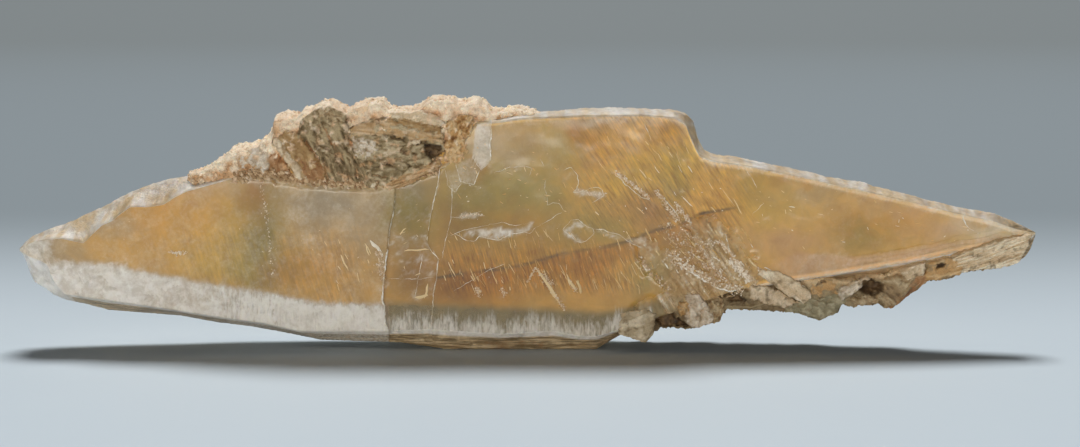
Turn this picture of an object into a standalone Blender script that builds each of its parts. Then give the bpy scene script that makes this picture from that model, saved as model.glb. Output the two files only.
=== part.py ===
"""Selenite crystal blade: one tabular gypsum crystal that stands on its long lower edge.

Metres, +Z up. +X runs along the blade, -Y is the wide cleavage face, and the origin is at
the middle of the bounding box, on the surface that the blade stands on. Three pieces:

* blade_crystal: the blade, with the small crystals of its shoulder grown into it
* shoulder_sand_crust: the granular crust that caps the shoulder
* underside_sand_rind: the lumpy rind under the thin half

Outlines are given in millimetres: x from the blunt tip, z above the surface.
"""

import bisect
import math

import bmesh
import bpy
from mathutils import Matrix, Vector, noise

MM = 0.001

# Driving dimensions.
LENGTH = 0.260
THICKNESS = 0.022
FOOT_START = 0.109
FOOT_END = 0.148
FOOT_HALF_WIDTH = 0.007
PIECE_GAP = 0.0003
WINDOW_DEPTH = 0.0012
SHEET_DEPTH = 0.0006
BREAK_DEPTH = 0.0030
CUTTER_REACH = 0.004
SMALLEST_RIB_STEP = 0.0007

FRONT_Y = -THICKNESS / 2.0
BACK_Y = THICKNESS / 2.0

# Outer edge of the blade, seen from the front.
TOP_EDGE = [
    (0, 26.6), (1, 27.4), (6, 30.5), (13, 32.8), (22.5, 37.5), (32, 42), (43, 43), (50.5, 45),
    (57, 48), (62, 50.5), (67, 54), (82, 56), (100, 57), (110, 58.5), (117, 59.5), (122, 59.5),
    (126, 60.8), (136, 61), (144, 61.7), (158.5, 61.6), (167.5, 61.3), (170, 60.5),
    (172, 58.5), (172.8, 54.5), (175, 50.9), (178.5, 49.6), (186, 48.6), (200, 45.7),
    (219, 41.3), (240, 36.2), (250, 34.4), (255.5, 32), (260, 30.4),
]
BOTTOM_EDGE = [
    (0, 24.6), (1.3, 22.3), (3.6, 17.4), (8.5, 14.3), (17, 11.7), (28, 9.8), (40, 8.3),
    (49, 6.8), (58, 5.4), (67, 3.8), (76, 2.1), (97, 1.7), (109, 0), (148, 0), (152, 2.5),
    (158.5, 6), (169, 9), (176.5, 12), (184, 14), (200, 16.5), (218, 19), (234, 21.5),
    (249, 23.5), (255, 24.5), (257.5, 26.5), (260, 29.4),
]

# Border of the wide cleavage face, inside that edge.
FACE_TOP = [
    (0, 25.9), (6, 28.4), (9.5, 29.2), (15.4, 28.1), (18, 30.7), (23, 34), (27.5, 37.2),
    (36, 38.2), (42, 40.5), (52.5, 43), (61.5, 45.2), (67.5, 44.9), (79, 43.9), (90, 43.4),
    (98, 44.9), (106.5, 48), (110, 52), (115, 58.3), (120, 58.6), (128, 59.8), (144, 60.9),
    (158.5, 60.8), (167.5, 60.2), (170, 58.4), (172, 54), (174, 50.2), (178.5, 48.8),
    (186, 47.6), (200, 44.6), (219, 40.2), (240, 35.2), (250, 33.2), (255.5, 30.8),
    (260, 30.1),
]
FACE_BOTTOM = [
    (0, 25.2), (6, 23), (8.5, 17.3), (10.5, 15.3), (27, 12.6), (40, 10.5), (53, 8.5),
    (62, 7.2), (71, 5.2), (94, 5.4), (105, 5.7), (122.5, 4.6), (136, 5.4), (148, 4.6),
    (158.5, 8), (169, 10.8), (176.5, 13.6), (184, 16.3), (200, 18.6), (218, 21.1),
    (234, 24), (248.5, 26.6), (255.5, 28), (260, 29.7),
]

# Plan view: where the front and the back lie, and how blunt the edges are.
FRONT_LINE = [(0, -6), (6, -11), (236, -11), (260, -9)]
BACK_LINE = [(0, 3), (58, 11), (186, 11), (260, -4)]
TOP_BLUNTNESS = [(0, 1), (42, 1.5), (60, 4), (70, 6), (168, 7), (172, 5), (178, 2), (260, 0.8)]
FOOT_BLUNTNESS = [(0, 1), (60, 2), (97, 6), (109, 7), (148, 7), (165, 5), (180, 3), (260, 0.8)]
BACK_TOP_INSET = [(0, 0.6), (20, 4), (60, 5), (120, 2), (168, 2.5), (180, 4), (240, 2), (260, 0.2)]
BACK_BOTTOM_INSET = [(0, 0.6), (20, 3), (60, 6), (130, 7), (180, 5), (240, 2), (260, 0.2)]

# Cleavage steps and the broken patch, as outlines on the wide face.
WINDOW_OUTLINE = [
    (95.5, 66), (95.3, 40.5), (94.1, 32), (93.3, 24.5), (92.5, 18), (92.2, 12), (94, 4),
    (94, -3), (104.8, -3), (105, 8.5), (105.2, 15), (106.2, 19), (106.6, 24), (103.8, 28),
    (104.8, 36), (106.8, 43.5), (107.5, 66),
]
SHEET_OUTLINE = [
    (107.3, 66), (106.6, 43.5), (104.6, 36), (103.6, 28), (106.4, 24), (106, 19), (105, 15),
    (104.8, 8.5), (104.6, -3), (264, -3), (264, 66),
]
BREAK_OUTLINE = [
    (160, 32), (168, 37), (177, 36.5), (182, 31), (189, 24), (189, 12), (180, 3), (165, -1),
    (158, 7), (163, 16), (167, 24),
]
BREAK_TILT = math.radians(9)
BREAK_PIVOT = Vector((0.172, 0.0, 0.036))

# Crystals grown into the shoulder: centre, size, lean about Y and turn about Z.
SIDE_CRYSTALS = [
    {"centre": (71.5, -5.6, 50.2), "size": (12.5, 9.5, 14), "lean": -12, "turn": 6, "taper": 0.8},
    {"centre": (81.0, -5.4, 51.0), "size": (11.5, 9, 17), "lean": -27, "turn": -5, "taper": 0.9},
    {"centre": (97.0, -5.2, 53.5), "size": (22, 9.8, 15), "lean": 4, "turn": 2, "taper": 0.92},
    {"centre": (116.6, -6.0, 55.6), "size": (5.2, 7.5, 9.5), "lean": -3, "turn": 0, "taper": 0.9},
]

# Top of the shoulder crust and underside of the rind, seen from the front.
CRUST_TOP = [
    (43, 45.2), (48, 46.3), (51, 48), (57, 52), (61.5, 54), (64, 56.8), (67, 59.2), (72, 59.8),
    (82, 60.4), (87, 63), (90, 63.9), (93, 63.4), (97, 61.6), (102, 62.3), (105, 65),
    (109, 64.6), (112, 63), (116, 64), (119, 63), (122.5, 60.2),
]
CRUST_COVER = 3.4
CRUST_HALF_WIDTH = [(43, 2.5), (57, 5.5), (70, 8.5), (110, 9), (122.5, 6)]
CRUST_SIDE_SHIFT = [(43, -1.5), (70, 0.6), (122.5, 0)]
RIND_BOTTOM = [
    (148.5, 1.9), (153, 0.7), (155.5, 2.3), (160, 1.2), (163, 3.6), (166, 4.6), (175, 5.2),
    (179, 6.8), (181.5, 10.2), (188, 10.2), (198, 9.3), (202, 8.6), (206, 7.5), (209.5, 9.6),
    (211.5, 12), (214, 10.7), (219.5, 11.6), (222.5, 10.5), (226, 12.4), (230, 15.6), (239, 18.7),
]
RIND_COVER = 2.6
RIND_HALF_WIDTH = [(148.5, 4.5), (160, 7), (180, 6.5), (205, 6), (225, 4.2), (239, 2.2)]
RIND_SIDE_SHIFT = [(148.5, 0), (186, -0.6), (239, -7.4)]

ROPE_STEP = 1.7
ROPE_SIDES = 14
LUMP_SIZE = 0.0045
LUMP_HEIGHT = 0.0011

SHOULDER_LOWEST = 42.0


def clear_scene():
    """Start from an empty scene."""
    for old in list(bpy.data.objects):
        bpy.data.objects.remove(old, do_unlink=True)


def height_at(outline, x):
    """Read a millimetre outline at x, by straight lines between its points."""
    xs = [point[0] for point in outline]
    if x <= xs[0]:
        return outline[0][1]
    if x >= xs[-1]:
        return outline[-1][1]
    right = bisect.bisect_right(xs, x)
    x0, z0 = outline[right - 1]
    x1, z1 = outline[right]
    return z0 + (z1 - z0) * (x - x0) / (x1 - x0)


def place(x, y, z):
    """A point given in millimetres from the blunt tip, in the part's frame."""
    return Vector((x * MM - LENGTH / 2.0, y * MM, z * MM))


def new_object(name, mesh_edit):
    """Make a mesh object from a finished bmesh."""
    mesh = bpy.data.meshes.new(name)
    mesh_edit.to_mesh(mesh)
    mesh_edit.free()
    made = bpy.data.objects.new(name, mesh)
    bpy.context.collection.objects.link(made)
    return made


def bake_modifiers(made):
    """Turn an object's modifiers into its mesh."""
    depsgraph = bpy.context.evaluated_depsgraph_get()
    baked = bpy.data.meshes.new_from_object(made.evaluated_get(depsgraph))
    made.modifiers.clear()
    made.data = baked


def combine(target, tool, operation):
    """Union or difference with a tool solid, which is then used up."""
    step = target.modifiers.new(tool.name, "BOOLEAN")
    step.operation = operation
    step.solver = "EXACT"
    step.use_self = True
    step.object = tool
    bpy.context.view_layer.update()
    bake_modifiers(target)
    bpy.data.objects.remove(tool, do_unlink=True)


def finish_material(made, name, colour, roughness, transmission=0.0):
    """Give a piece its own Principled material."""
    material = bpy.data.materials.new(name)
    material.use_nodes = True
    shader = material.node_tree.nodes["Principled BSDF"]
    shader.inputs["Base Color"].default_value = (*colour, 1.0)
    shader.inputs["Roughness"].default_value = roughness
    shader.inputs["Metallic"].default_value = 0.0
    shader.inputs["Transmission Weight"].default_value = transmission
    made.data.materials.clear()
    made.data.materials.append(material)


def rib_positions():
    """Every x where an outline of the blade turns, thinned to the smallest rib step."""
    wanted = sorted({point[0] for outline in (TOP_EDGE, BOTTOM_EDGE, FACE_TOP, FACE_BOTTOM,
                                              FRONT_LINE, BACK_LINE) for point in outline})
    kept = [wanted[0]]
    for x in wanted[1:]:
        if (x - kept[-1]) * MM >= SMALLEST_RIB_STEP:
            kept.append(x)
    kept[-1] = wanted[-1]
    return kept


def rib_points(x):
    """The eight corners of the blade's cross-section at x, once round."""
    front = height_at(FRONT_LINE, x)
    back = height_at(BACK_LINE, x)
    middle = (front + back) / 2.0
    top = height_at(TOP_EDGE, x)
    bottom = height_at(BOTTOM_EDGE, x)
    room = (back - front) / 2.0 - 0.4
    top_blunt = min(height_at(TOP_BLUNTNESS, x), room)
    foot_blunt = min(height_at(FOOT_BLUNTNESS, x), room)
    return [
        place(x, front, height_at(FACE_TOP, x)),
        place(x, front, height_at(FACE_BOTTOM, x)),
        place(x, middle - foot_blunt, bottom),
        place(x, middle + foot_blunt, bottom),
        place(x, back, bottom + height_at(BACK_BOTTOM_INSET, x)),
        place(x, back, top - height_at(BACK_TOP_INSET, x)),
        place(x, middle + top_blunt, top),
        place(x, middle - top_blunt, top),
    ]


def skin_over_rings(rings):
    """A closed skin over rings of points: bridged side by side, and capped at both ends."""
    edit = bmesh.new()
    loops = []
    for ring in rings:
        corners = [edit.verts.new(point) for point in ring]
        count = len(corners)
        loops.append([edit.edges.new((corners[i], corners[(i + 1) % count])) for i in range(count)])
    first_cap = edit.faces.new([edge.verts[0] for edge in loops[0]])
    last_cap = edit.faces.new([edge.verts[0] for edge in loops[-1]])
    for near, far in zip(loops, loops[1:]):
        bmesh.ops.bridge_loops(edit, edges=near + far)
    bmesh.ops.triangulate(edit, faces=[first_cap, last_cap])
    bmesh.ops.recalc_face_normals(edit, faces=edit.faces)
    return edit


def make_prism(name, outline, near_y, far_y):
    """A prism over an outline on the wide face, from near_y to far_y."""
    edit = bmesh.new()
    corners = [edit.verts.new((x * MM - LENGTH / 2.0, near_y, z * MM)) for x, z in outline]
    face = edit.faces.new(corners)
    swept = bmesh.ops.extrude_face_region(edit, geom=[face])
    moved = [item for item in swept["geom"] if isinstance(item, bmesh.types.BMVert)]
    bmesh.ops.translate(edit, verts=moved, vec=(0.0, far_y - near_y, 0.0))
    bmesh.ops.recalc_face_normals(edit, faces=edit.faces)
    return new_object(name, edit)


def make_side_crystal(number, shape):
    """One stubby six-sided crystal of the shoulder, narrower at its top."""
    width, depth, height = (value * MM for value in shape["size"])
    edit = bmesh.new()
    bmesh.ops.create_cone(edit, cap_ends=True, segments=6, radius1=0.5,
                          radius2=0.5 * shape["taper"], depth=1.0)
    bmesh.ops.scale(edit, vec=(width, depth, height), verts=edit.verts)
    turn = Matrix.Rotation(math.radians(shape["turn"]), 4, "Z")
    lean = Matrix.Rotation(math.radians(shape["lean"]), 4, "Y")
    centre = Matrix.Translation(place(*shape["centre"]))
    bmesh.ops.transform(edit, matrix=centre @ lean @ turn, verts=edit.verts)
    bmesh.ops.recalc_face_normals(edit, faces=edit.faces)
    return new_object("side_crystal_%d" % number, edit)


def make_break_cutter():
    """The wedge that is missing where the cleavage sheets broke away."""
    cutter = make_prism("break_cutter", BREAK_OUTLINE, FRONT_Y - CUTTER_REACH * 2.0,
                        FRONT_Y + SHEET_DEPTH)
    swing = Matrix.Rotation(BREAK_TILT, 4, "X")
    pivot = BREAK_PIVOT - Vector((LENGTH / 2.0, -FRONT_Y, 0.0))
    pivot.y = FRONT_Y + SHEET_DEPTH
    cutter.data.transform(Matrix.Translation(pivot) @ swing @ Matrix.Translation(-pivot))
    return cutter


def make_blade():
    """The blade: skinned over its ribs, with its side crystals and its cleavage steps."""
    blade = new_object("blade_crystal", skin_over_rings([rib_points(x) for x in rib_positions()]))
    for number, shape in enumerate(SIDE_CRYSTALS, start=1):
        combine(blade, make_side_crystal(number, shape), "UNION")
    outside = FRONT_Y - CUTTER_REACH
    combine(blade, make_prism("window_cutter", WINDOW_OUTLINE, outside, FRONT_Y + WINDOW_DEPTH),
            "DIFFERENCE")
    combine(blade, make_prism("sheet_cutter", SHEET_OUTLINE, outside, FRONT_Y + SHEET_DEPTH),
            "DIFFERENCE")
    combine(blade, make_break_cutter(), "DIFFERENCE")
    finish_material(blade, "honey_gypsum", (0.62, 0.43, 0.20), 0.25, 0.6)
    return blade


def make_rope(name, start, end, top_line, bottom_line, half_width, side_shift, lump_seed):
    """A lumpy bar between two outlines, rounded in section, with rough swells."""
    count = int(round((end - start) / ROPE_STEP))
    rings = []
    for step in range(count + 1):
        x = start + (end - start) * step / count
        top = top_line(x)
        bottom = bottom_line(x)
        middle = place(x, height_at(side_shift, x), (top + bottom) / 2.0)
        tall = (top - bottom) / 2.0 * MM
        wide = height_at(half_width, x) * MM
        ring = []
        for side in range(ROPE_SIDES):
            angle = 2.0 * math.pi * (side + 0.5 * (step % 2)) / ROPE_SIDES
            out = Vector((0.0, math.cos(angle), math.sin(angle)))
            point = middle + Vector((0.0, out.y * wide, out.z * tall))
            lump = noise.noise(point / LUMP_SIZE + Vector((lump_seed, 0.0, 0.0)))
            ring.append(point + out * (lump * LUMP_HEIGHT - LUMP_HEIGHT * 0.6))
        rings.append(ring)
    return new_object(name, skin_over_rings(rings))


def swollen_copy(made, distance):
    """A copy of a solid, grown outwards by a distance, to cut clearance with."""
    edit = bmesh.new()
    edit.from_mesh(made.data)
    bmesh.ops.remove_doubles(edit, verts=edit.verts, dist=0.00002)
    edit.normal_update()
    moves = [(corner, corner.normal * distance * min(corner.calc_shell_factor(), 1.6))
             for corner in edit.verts]
    for corner, move in moves:
        corner.co += move
    return new_object("clearance", edit)


def keep_largest_body(made):
    """Drop the loose crumbs that a cut leaves beside the main body."""
    edit = bmesh.new()
    edit.from_mesh(made.data)
    unseen = set(edit.verts)
    bodies = []
    while unseen:
        front = [unseen.pop()]
        body = []
        while front:
            corner = front.pop()
            body.append(corner)
            for edge in corner.link_edges:
                other = edge.other_vert(corner)
                if other in unseen:
                    unseen.remove(other)
                    front.append(other)
        bodies.append(body)
    bodies.sort(key=len)
    crumbs = [corner for body in bodies[:-1] for corner in body]
    bmesh.ops.delete(edit, geom=crumbs, context="VERTS")
    edit.to_mesh(made.data)
    edit.free()


def make_shoulder_crust(blade):
    """The granular crust along the top of the shoulder, lying on the crystals."""
    crust = make_rope("shoulder_sand_crust", CRUST_TOP[0][0], CRUST_TOP[-1][0],
                      lambda x: height_at(CRUST_TOP, x),
                      lambda x: height_at(TOP_EDGE, x) - CRUST_COVER,
                      CRUST_HALF_WIDTH, CRUST_SIDE_SHIFT, 3.0)
    combine(crust, swollen_copy(blade, PIECE_GAP), "DIFFERENCE")
    keep_largest_body(crust)
    finish_material(crust, "pink_sand", (0.74, 0.58, 0.42), 0.9)
    return crust


def make_underside_rind(blade):
    """The lumpy rind under the thin half, which hangs clear of the surface."""
    rind = make_rope("underside_sand_rind", RIND_BOTTOM[0][0], RIND_BOTTOM[-1][0],
                     lambda x: height_at(BOTTOM_EDGE, x) + RIND_COVER,
                     lambda x: height_at(RIND_BOTTOM, x),
                     RIND_HALF_WIDTH, RIND_SIDE_SHIFT, 11.0)
    combine(rind, swollen_copy(blade, PIECE_GAP), "DIFFERENCE")
    keep_largest_body(rind)
    finish_material(rind, "brown_sand", (0.50, 0.38, 0.26), 0.9)
    return rind


def main():
    clear_scene()
    blade = make_blade()
    make_shoulder_crust(blade)
    make_underside_rind(blade)


main()
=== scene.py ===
# %% [markdown]
# # A selenite blade, cell by cell
#
# Selenite is clear gypsum. This blade grew in wet sand, so it has three parts: the crystal
# itself, a crust of pink sand on its shoulder, and a brown rind under its thin half. The
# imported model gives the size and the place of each. These cells add the looks around it.

# %% Open the frame
import math
from types import SimpleNamespace

import bpy
import numpy as np
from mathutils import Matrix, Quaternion, Vector, noise


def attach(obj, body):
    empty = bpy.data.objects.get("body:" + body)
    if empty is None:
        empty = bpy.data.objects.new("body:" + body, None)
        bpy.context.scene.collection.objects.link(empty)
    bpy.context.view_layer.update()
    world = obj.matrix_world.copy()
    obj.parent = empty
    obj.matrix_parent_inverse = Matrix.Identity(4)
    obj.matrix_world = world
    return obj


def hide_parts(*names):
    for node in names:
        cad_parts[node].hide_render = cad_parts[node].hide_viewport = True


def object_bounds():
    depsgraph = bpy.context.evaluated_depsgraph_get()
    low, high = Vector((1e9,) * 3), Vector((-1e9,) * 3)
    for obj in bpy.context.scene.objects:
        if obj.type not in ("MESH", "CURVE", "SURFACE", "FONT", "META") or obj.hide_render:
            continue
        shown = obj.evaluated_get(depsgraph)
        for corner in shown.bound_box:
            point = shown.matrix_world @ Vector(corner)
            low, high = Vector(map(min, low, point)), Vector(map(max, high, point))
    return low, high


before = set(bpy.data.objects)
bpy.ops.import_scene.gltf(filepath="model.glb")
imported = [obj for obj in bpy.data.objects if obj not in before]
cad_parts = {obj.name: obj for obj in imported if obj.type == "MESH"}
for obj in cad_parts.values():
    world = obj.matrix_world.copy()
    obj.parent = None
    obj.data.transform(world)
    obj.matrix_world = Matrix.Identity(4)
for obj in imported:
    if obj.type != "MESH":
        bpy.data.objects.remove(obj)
cad_low, cad_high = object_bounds()
print("nodes:", sorted(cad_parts), "box in mm:", (cad_high - cad_low) * 1000)

# %% [markdown]
# ## Millimetres from the blunt tip
#
# A crystal is measured along its length, so every outline here is written as a bench
# drawing would be: x in millimetres from the blunt tip, y in depth, z above the table.
# One function turns such numbers into the frame's metres.

# %% Rulers
MM = 0.001
LENGTH = (cad_high.x - cad_low.x) / MM
FRONT = cad_low.y / MM
BACK = cad_high.y / MM
TOP = cad_high.z / MM
OCTAVE_GAP = 2.1


def in_frame(x, y, z):
    """Millimetres from the blunt tip as an array of points in metres."""
    x, y, z = np.broadcast_arrays(x, y, z)
    return np.stack([x * MM + cad_low.x, y * MM, z * MM], axis=-1)


def follow(outline, x):
    """Read an outline, a list of (x, value), at every x."""
    points = np.array(outline, float)
    return np.interp(x, points[:, 0], points[:, 1])


def ease(low, high, value):
    """0 below low, 1 above high, and an S-curve between."""
    t = np.clip((value - low) / (high - low), 0.0, 1.0)
    return t * t * (3.0 - 2.0 * t)


def speckle(x, y, z, size, octaves=3):
    """Smooth noise of about -1 to 1 at points in millimetres, with lumps of one size."""
    grid = np.stack(np.broadcast_arrays(x, y, z), axis=-1).reshape(-1, 3) / size
    values = [noise.fractal(point, 0.8, OCTAVE_GAP, octaves) for point in grid]
    return np.array(values).reshape(np.broadcast(x, y, z).shape)


def ridges(x, y, z, size, octaves=4):
    """Sharp-crested noise of about 0 to 1, like broken stone."""
    grid = np.stack(np.broadcast_arrays(x, y, z), axis=-1).reshape(-1, 3) / size
    values = [noise.ridged_multi_fractal(point, 0.9, OCTAVE_GAP, octaves, 1.0, 2.0) for point in grid]
    values = np.array(values).reshape(np.broadcast(x, y, z).shape)
    return np.clip((values - 0.45) / 1.3, 0.0, 1.0)


def near_line(line, x, z):
    """Distance in millimetres from each (x, z) to a line through a list of points."""
    best = np.full(np.shape(x), 1e9)
    for (x0, z0), (x1, z1) in zip(line, line[1:]):
        along = ((x - x0) * (x1 - x0) + (z - z0) * (z1 - z0)) / ((x1 - x0) ** 2 + (z1 - z0) ** 2)
        along = np.clip(along, 0.0, 1.0)
        best = np.minimum(best, np.hypot(x - x0 - along * (x1 - x0), z - z0 - along * (z1 - z0)))
    return best


def inside(ring, x, z):
    """Distance in millimetres to a closed outline: positive within it, negative outside."""
    within = np.zeros(np.shape(x), bool)
    for (x0, z0), (x1, z1) in zip(ring, ring[1:] + ring[:1]):
        if z0 == z1:
            continue
        crosses = ((z0 > z) != (z1 > z)) & (x < (x1 - x0) * (z - z0) / (z1 - z0) + x0)
        within ^= crosses
    distance = near_line(ring + ring[:1], x, z)
    return np.where(within, distance, -distance)


print("length %.1f mm, front at %.1f, back at %.1f" % (LENGTH, FRONT, BACK))

# %% [markdown]
# ## Table, light and camera
#
# The specimen stands on a pale blue-grey sheet. The main light is wide and soft and comes
# from above and a little behind, so the shadow falls to the front and the thin edges glow. A
# low warm card lights the wide face. The camera is nearly level and looks at that face.

# %% Table, light and camera
CAMERA_DISTANCE = 0.540
CAMERA_PITCH = math.radians(6.2)
CAMERA_AIM = Vector((0.0034, 0.0, 0.03185))
CAMERA_LENS = 69.5
CAMERA_FILM = 36.0


def deselect_all():
    """Operators act on whatever is selected, so nothing is left selected by accident."""
    if bpy.context.object and bpy.context.object.mode != "OBJECT":
        bpy.ops.object.mode_set(mode="OBJECT")
    bpy.ops.object.select_all(action="DESELECT")


def set_camera():
    lens = bpy.data.cameras.new("camera")
    lens.sensor_width = CAMERA_FILM
    lens.sensor_fit = "HORIZONTAL"
    lens.lens = CAMERA_LENS
    camera = bpy.data.objects.new("camera", lens)
    bpy.context.collection.objects.link(camera)
    away = Vector((0.0, -math.cos(CAMERA_PITCH), math.sin(CAMERA_PITCH)))
    camera.location = CAMERA_AIM + away * CAMERA_DISTANCE
    camera.rotation_euler = (math.pi / 2.0 - CAMERA_PITCH, 0.0, 0.0)
    bpy.context.scene.camera = camera


def hang_lamp(name, size_x, size_y, watts, place, aim, colour):
    lamp = bpy.data.lights.new(name, "AREA")
    lamp.shape = "RECTANGLE"
    lamp.size = size_x
    lamp.size_y = size_y
    lamp.energy = watts
    lamp.color = colour
    holder = bpy.data.objects.new(name, lamp)
    bpy.context.collection.objects.link(holder)
    holder.location = place
    holder.rotation_euler = (Vector(aim) - Vector(place)).to_track_quat("-Z", "Y").to_euler()
    holder.visible_camera = False


def hang_sun(name, strength, tilts, width, colour):
    """A wide even light from far above: tilts are its lean in degrees about Y and about X."""
    lamp = bpy.data.lights.new(name, "SUN")
    lamp.energy = strength
    lamp.angle = math.radians(width)
    lamp.color = colour
    holder = bpy.data.objects.new(name, lamp)
    bpy.context.collection.objects.link(holder)
    holder.rotation_euler = (math.radians(tilts[1]), math.radians(tilts[0]), 0.0)


def set_world(colour, strength):
    world = bpy.data.worlds.new("room")
    world.use_nodes = True
    background = world.node_tree.nodes["Background"]
    background.inputs["Color"].default_value = (*colour, 1.0)
    background.inputs["Strength"].default_value = strength
    bpy.context.scene.world = world


bpy.context.scene.view_settings.view_transform = "Standard"
set_camera()
set_world(colour=(0.94, 0.97, 1.0), strength=0.05)
hang_sun("ceiling_light", strength=2.85, tilts=(1.0, -27.0), width=22.0, colour=(1.0, 0.985, 0.96))
hang_lamp("front_card", size_x=1.3, size_y=0.30, watts=12.2, place=(-0.20, -1.28, 0.06),
          aim=(0.0, 0.0, 0.035), colour=(1.0, 0.945, 0.86))
print("camera %.2f m away" % CAMERA_DISTANCE)

# %% [markdown]
# ## Writing shaders as sums
#
# A finish is a sum of patterns. This small class wraps a shader socket, so that
# `haze * 0.6 + grain` adds the Math nodes by itself.

# %% Sockets as numbers


class Wire:
    """A shader socket that can be added, multiplied and mixed like a number."""

    def __init__(self, tree, socket):
        self.tree = tree
        self.socket = socket

    def math(self, operation, *others, clamp=False):
        settings = {"operation": operation, "use_clamp": clamp}
        return add_node(self.tree, "ShaderNodeMath", settings, [self, *others])[0]

    def __add__(self, other):
        return self.math("ADD", other)

    def __mul__(self, other):
        return self.math("MULTIPLY", other)

    def __sub__(self, other):
        return self.math("SUBTRACT", other)

    def __truediv__(self, other):
        return self.math("DIVIDE", other)

    def __rsub__(self, other):
        return add_node(self.tree, "ShaderNodeMath", {"operation": "SUBTRACT"}, [other, self])[0]

    __radd__ = __add__
    __rmul__ = __mul__

    def clamped(self):
        return self.math("ADD", 0.0, clamp=True)

    def step(self, low, high):
        """An S-curve: 0 at low, 1 at high."""
        settings = {"interpolation_type": "SMOOTHSTEP"}
        values = {"Value": self, "From Min": low, "From Max": high}
        return add_node(self.tree, "ShaderNodeMapRange", settings, values)["Result"]


class Outputs:
    """A node's outputs by name or by place, each as a Wire."""

    def __init__(self, tree, node):
        self.tree = tree
        self.node = node

    def __getitem__(self, key):
        return Wire(self.tree, self.node.outputs[key])


def add_node(tree, kind, settings, values):
    """Add a node: its settings first, then a value or a Wire for each socket."""
    node = tree.nodes.new(kind)
    for name, setting in settings.items():
        setattr(node, name, setting)
    pairs = values.items() if isinstance(values, dict) else enumerate(values)
    for key, value in pairs:
        if isinstance(value, Wire):
            tree.links.new(value.socket, node.inputs[key])
        elif value is not None:
            node.inputs[key].default_value = value
    return Outputs(tree, node)


print("sockets ready")

# %% [markdown]
# ## A finish under construction
#
# Patterns are measured in millimetres of the specimen, so a lump of noise has a real size.
# Colours are mixed by a Mix node, which keeps their three channels, and values painted on
# the points come in by name.

# %% Finish


class Finish:
    """A material under construction, with its coordinates in millimetres."""

    def __init__(self, name):
        self.material = bpy.data.materials.new(name)
        self.material.use_nodes = True
        self.tree = self.material.node_tree
        self.tree.nodes.clear()
        self.end = self.tree.nodes.new("ShaderNodeOutputMaterial")
        place = self.node("ShaderNodeTexCoord", {}, {})["Object"]
        self.mm = self.scaled(place, (1000.0, 1000.0, 1000.0))

    def node(self, kind, settings, values):
        return add_node(self.tree, kind, settings, values)

    def scaled(self, vector, factors):
        settings = {"operation": "MULTIPLY"}
        return self.node("ShaderNodeVectorMath", settings, [vector, factors])["Vector"]

    def turned(self, vector, degrees):
        """The same place, turned about Y, to lay a stretched pattern at a slant."""
        turn = (0.0, math.radians(degrees), 0.0)
        values = {"Vector": vector, "Rotation": turn}
        return self.node("ShaderNodeMapping", {"vector_type": "POINT"}, values)["Vector"]

    def noise(self, size, detail=4.0, rough=0.55, vector=None, warp=0.0):
        """Noise of 0 to 1 with lumps of a size in millimetres."""
        values = {"Vector": vector or self.mm, "Scale": 1.0 / size, "Detail": detail,
                  "Roughness": rough, "Distortion": warp}
        return self.node("ShaderNodeTexNoise", {}, values)["Fac"]

    def layer(self, name):
        """A value that was painted on the piece's own points."""
        return self.node("ShaderNodeAttribute", {"attribute_name": name}, {})["Fac"]

    def tint(self, name):
        """A colour that was painted on the piece's own points."""
        return self.node("ShaderNodeAttribute", {"attribute_name": name}, {})["Color"]

    def mix(self, first, second, share, blend_type="MIX"):
        """Two colours mixed by a share."""
        colours = [value if isinstance(value, Wire) else (*value, 1.0) for value in (first, second)]
        settings = {"data_type": "RGBA", "blend_type": blend_type}
        return self.node("ShaderNodeMix", settings, {0: share, 6: colours[0], 7: colours[1]})[2]

    def bump(self, height, strength, depth):
        values = {"Height": height, "Strength": strength, "Distance": depth * MM}
        return self.node("ShaderNodeBump", {}, values)["Normal"]

    def principled(self, **values):
        named = {key.replace("_", " "): value for key, value in values.items()}
        return self.node("ShaderNodeBsdfPrincipled", {}, named)["BSDF"]

    def mix_shaders(self, first, second, share):
        return self.node("ShaderNodeMixShader", {}, [share, first, second])[0]

    def finish(self, surface, volume=None):
        self.tree.links.new(surface.socket, self.end.inputs["Surface"])
        if volume:
            self.tree.links.new(volume.socket, self.end.inputs["Volume"])
        return self.material


print("finish helper ready")

# %% [markdown]
# ## The sheet
#
# A real sheet of card is not quite even, so its pale blue-grey gets a faint cloud. Its colour
# is also painted paler round the specimen and greyer farther back: painted shade for the
# light falling off with distance.

# %% Sheet
SHEET_REACH = 220.0
SHEET_Z = -0.00002


def card_finish():
    card = Finish("pale_card")
    cloud = card.noise(90.0, 3.0)
    colour = card.mix((0.585, 0.68, 0.765), (0.615, 0.71, 0.79), cloud)
    parts = card.node("ShaderNodeSeparateXYZ", {}, [card.mm])
    # painted shade: the sheet grows darker with distance behind the specimen, standing in for the light
    # falling off
    colour = card.mix(colour, (0.27, 0.325, 0.365), parts["Y"].step(0.0, 360.0))
    colour = card.mix(colour, (0.225, 0.262, 0.28), parts["Y"].step(600.0, 4000.0))
    return card.finish(card.principled(Base_Color=colour, Roughness=0.6, Specular_IOR_Level=0.2))


deselect_all()
bpy.ops.mesh.primitive_plane_add(size=SHEET_REACH, location=(0.0, 0.0, SHEET_Z))
sheet = bpy.context.object
sheet.name = "table_sheet"
sheet.data.materials.append(card_finish())
print("sheet", SHEET_REACH, "m wide")

# %% [markdown]
# ## The blade's outline
#
# The blade is a skin over ribs: at each x the section has a wide front face, a bevel and a
# blunt edge above and below, and a back face. Four outlines give the heights. Growth
# leaves no ruler-straight edges, so small noise is added to each later.

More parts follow.
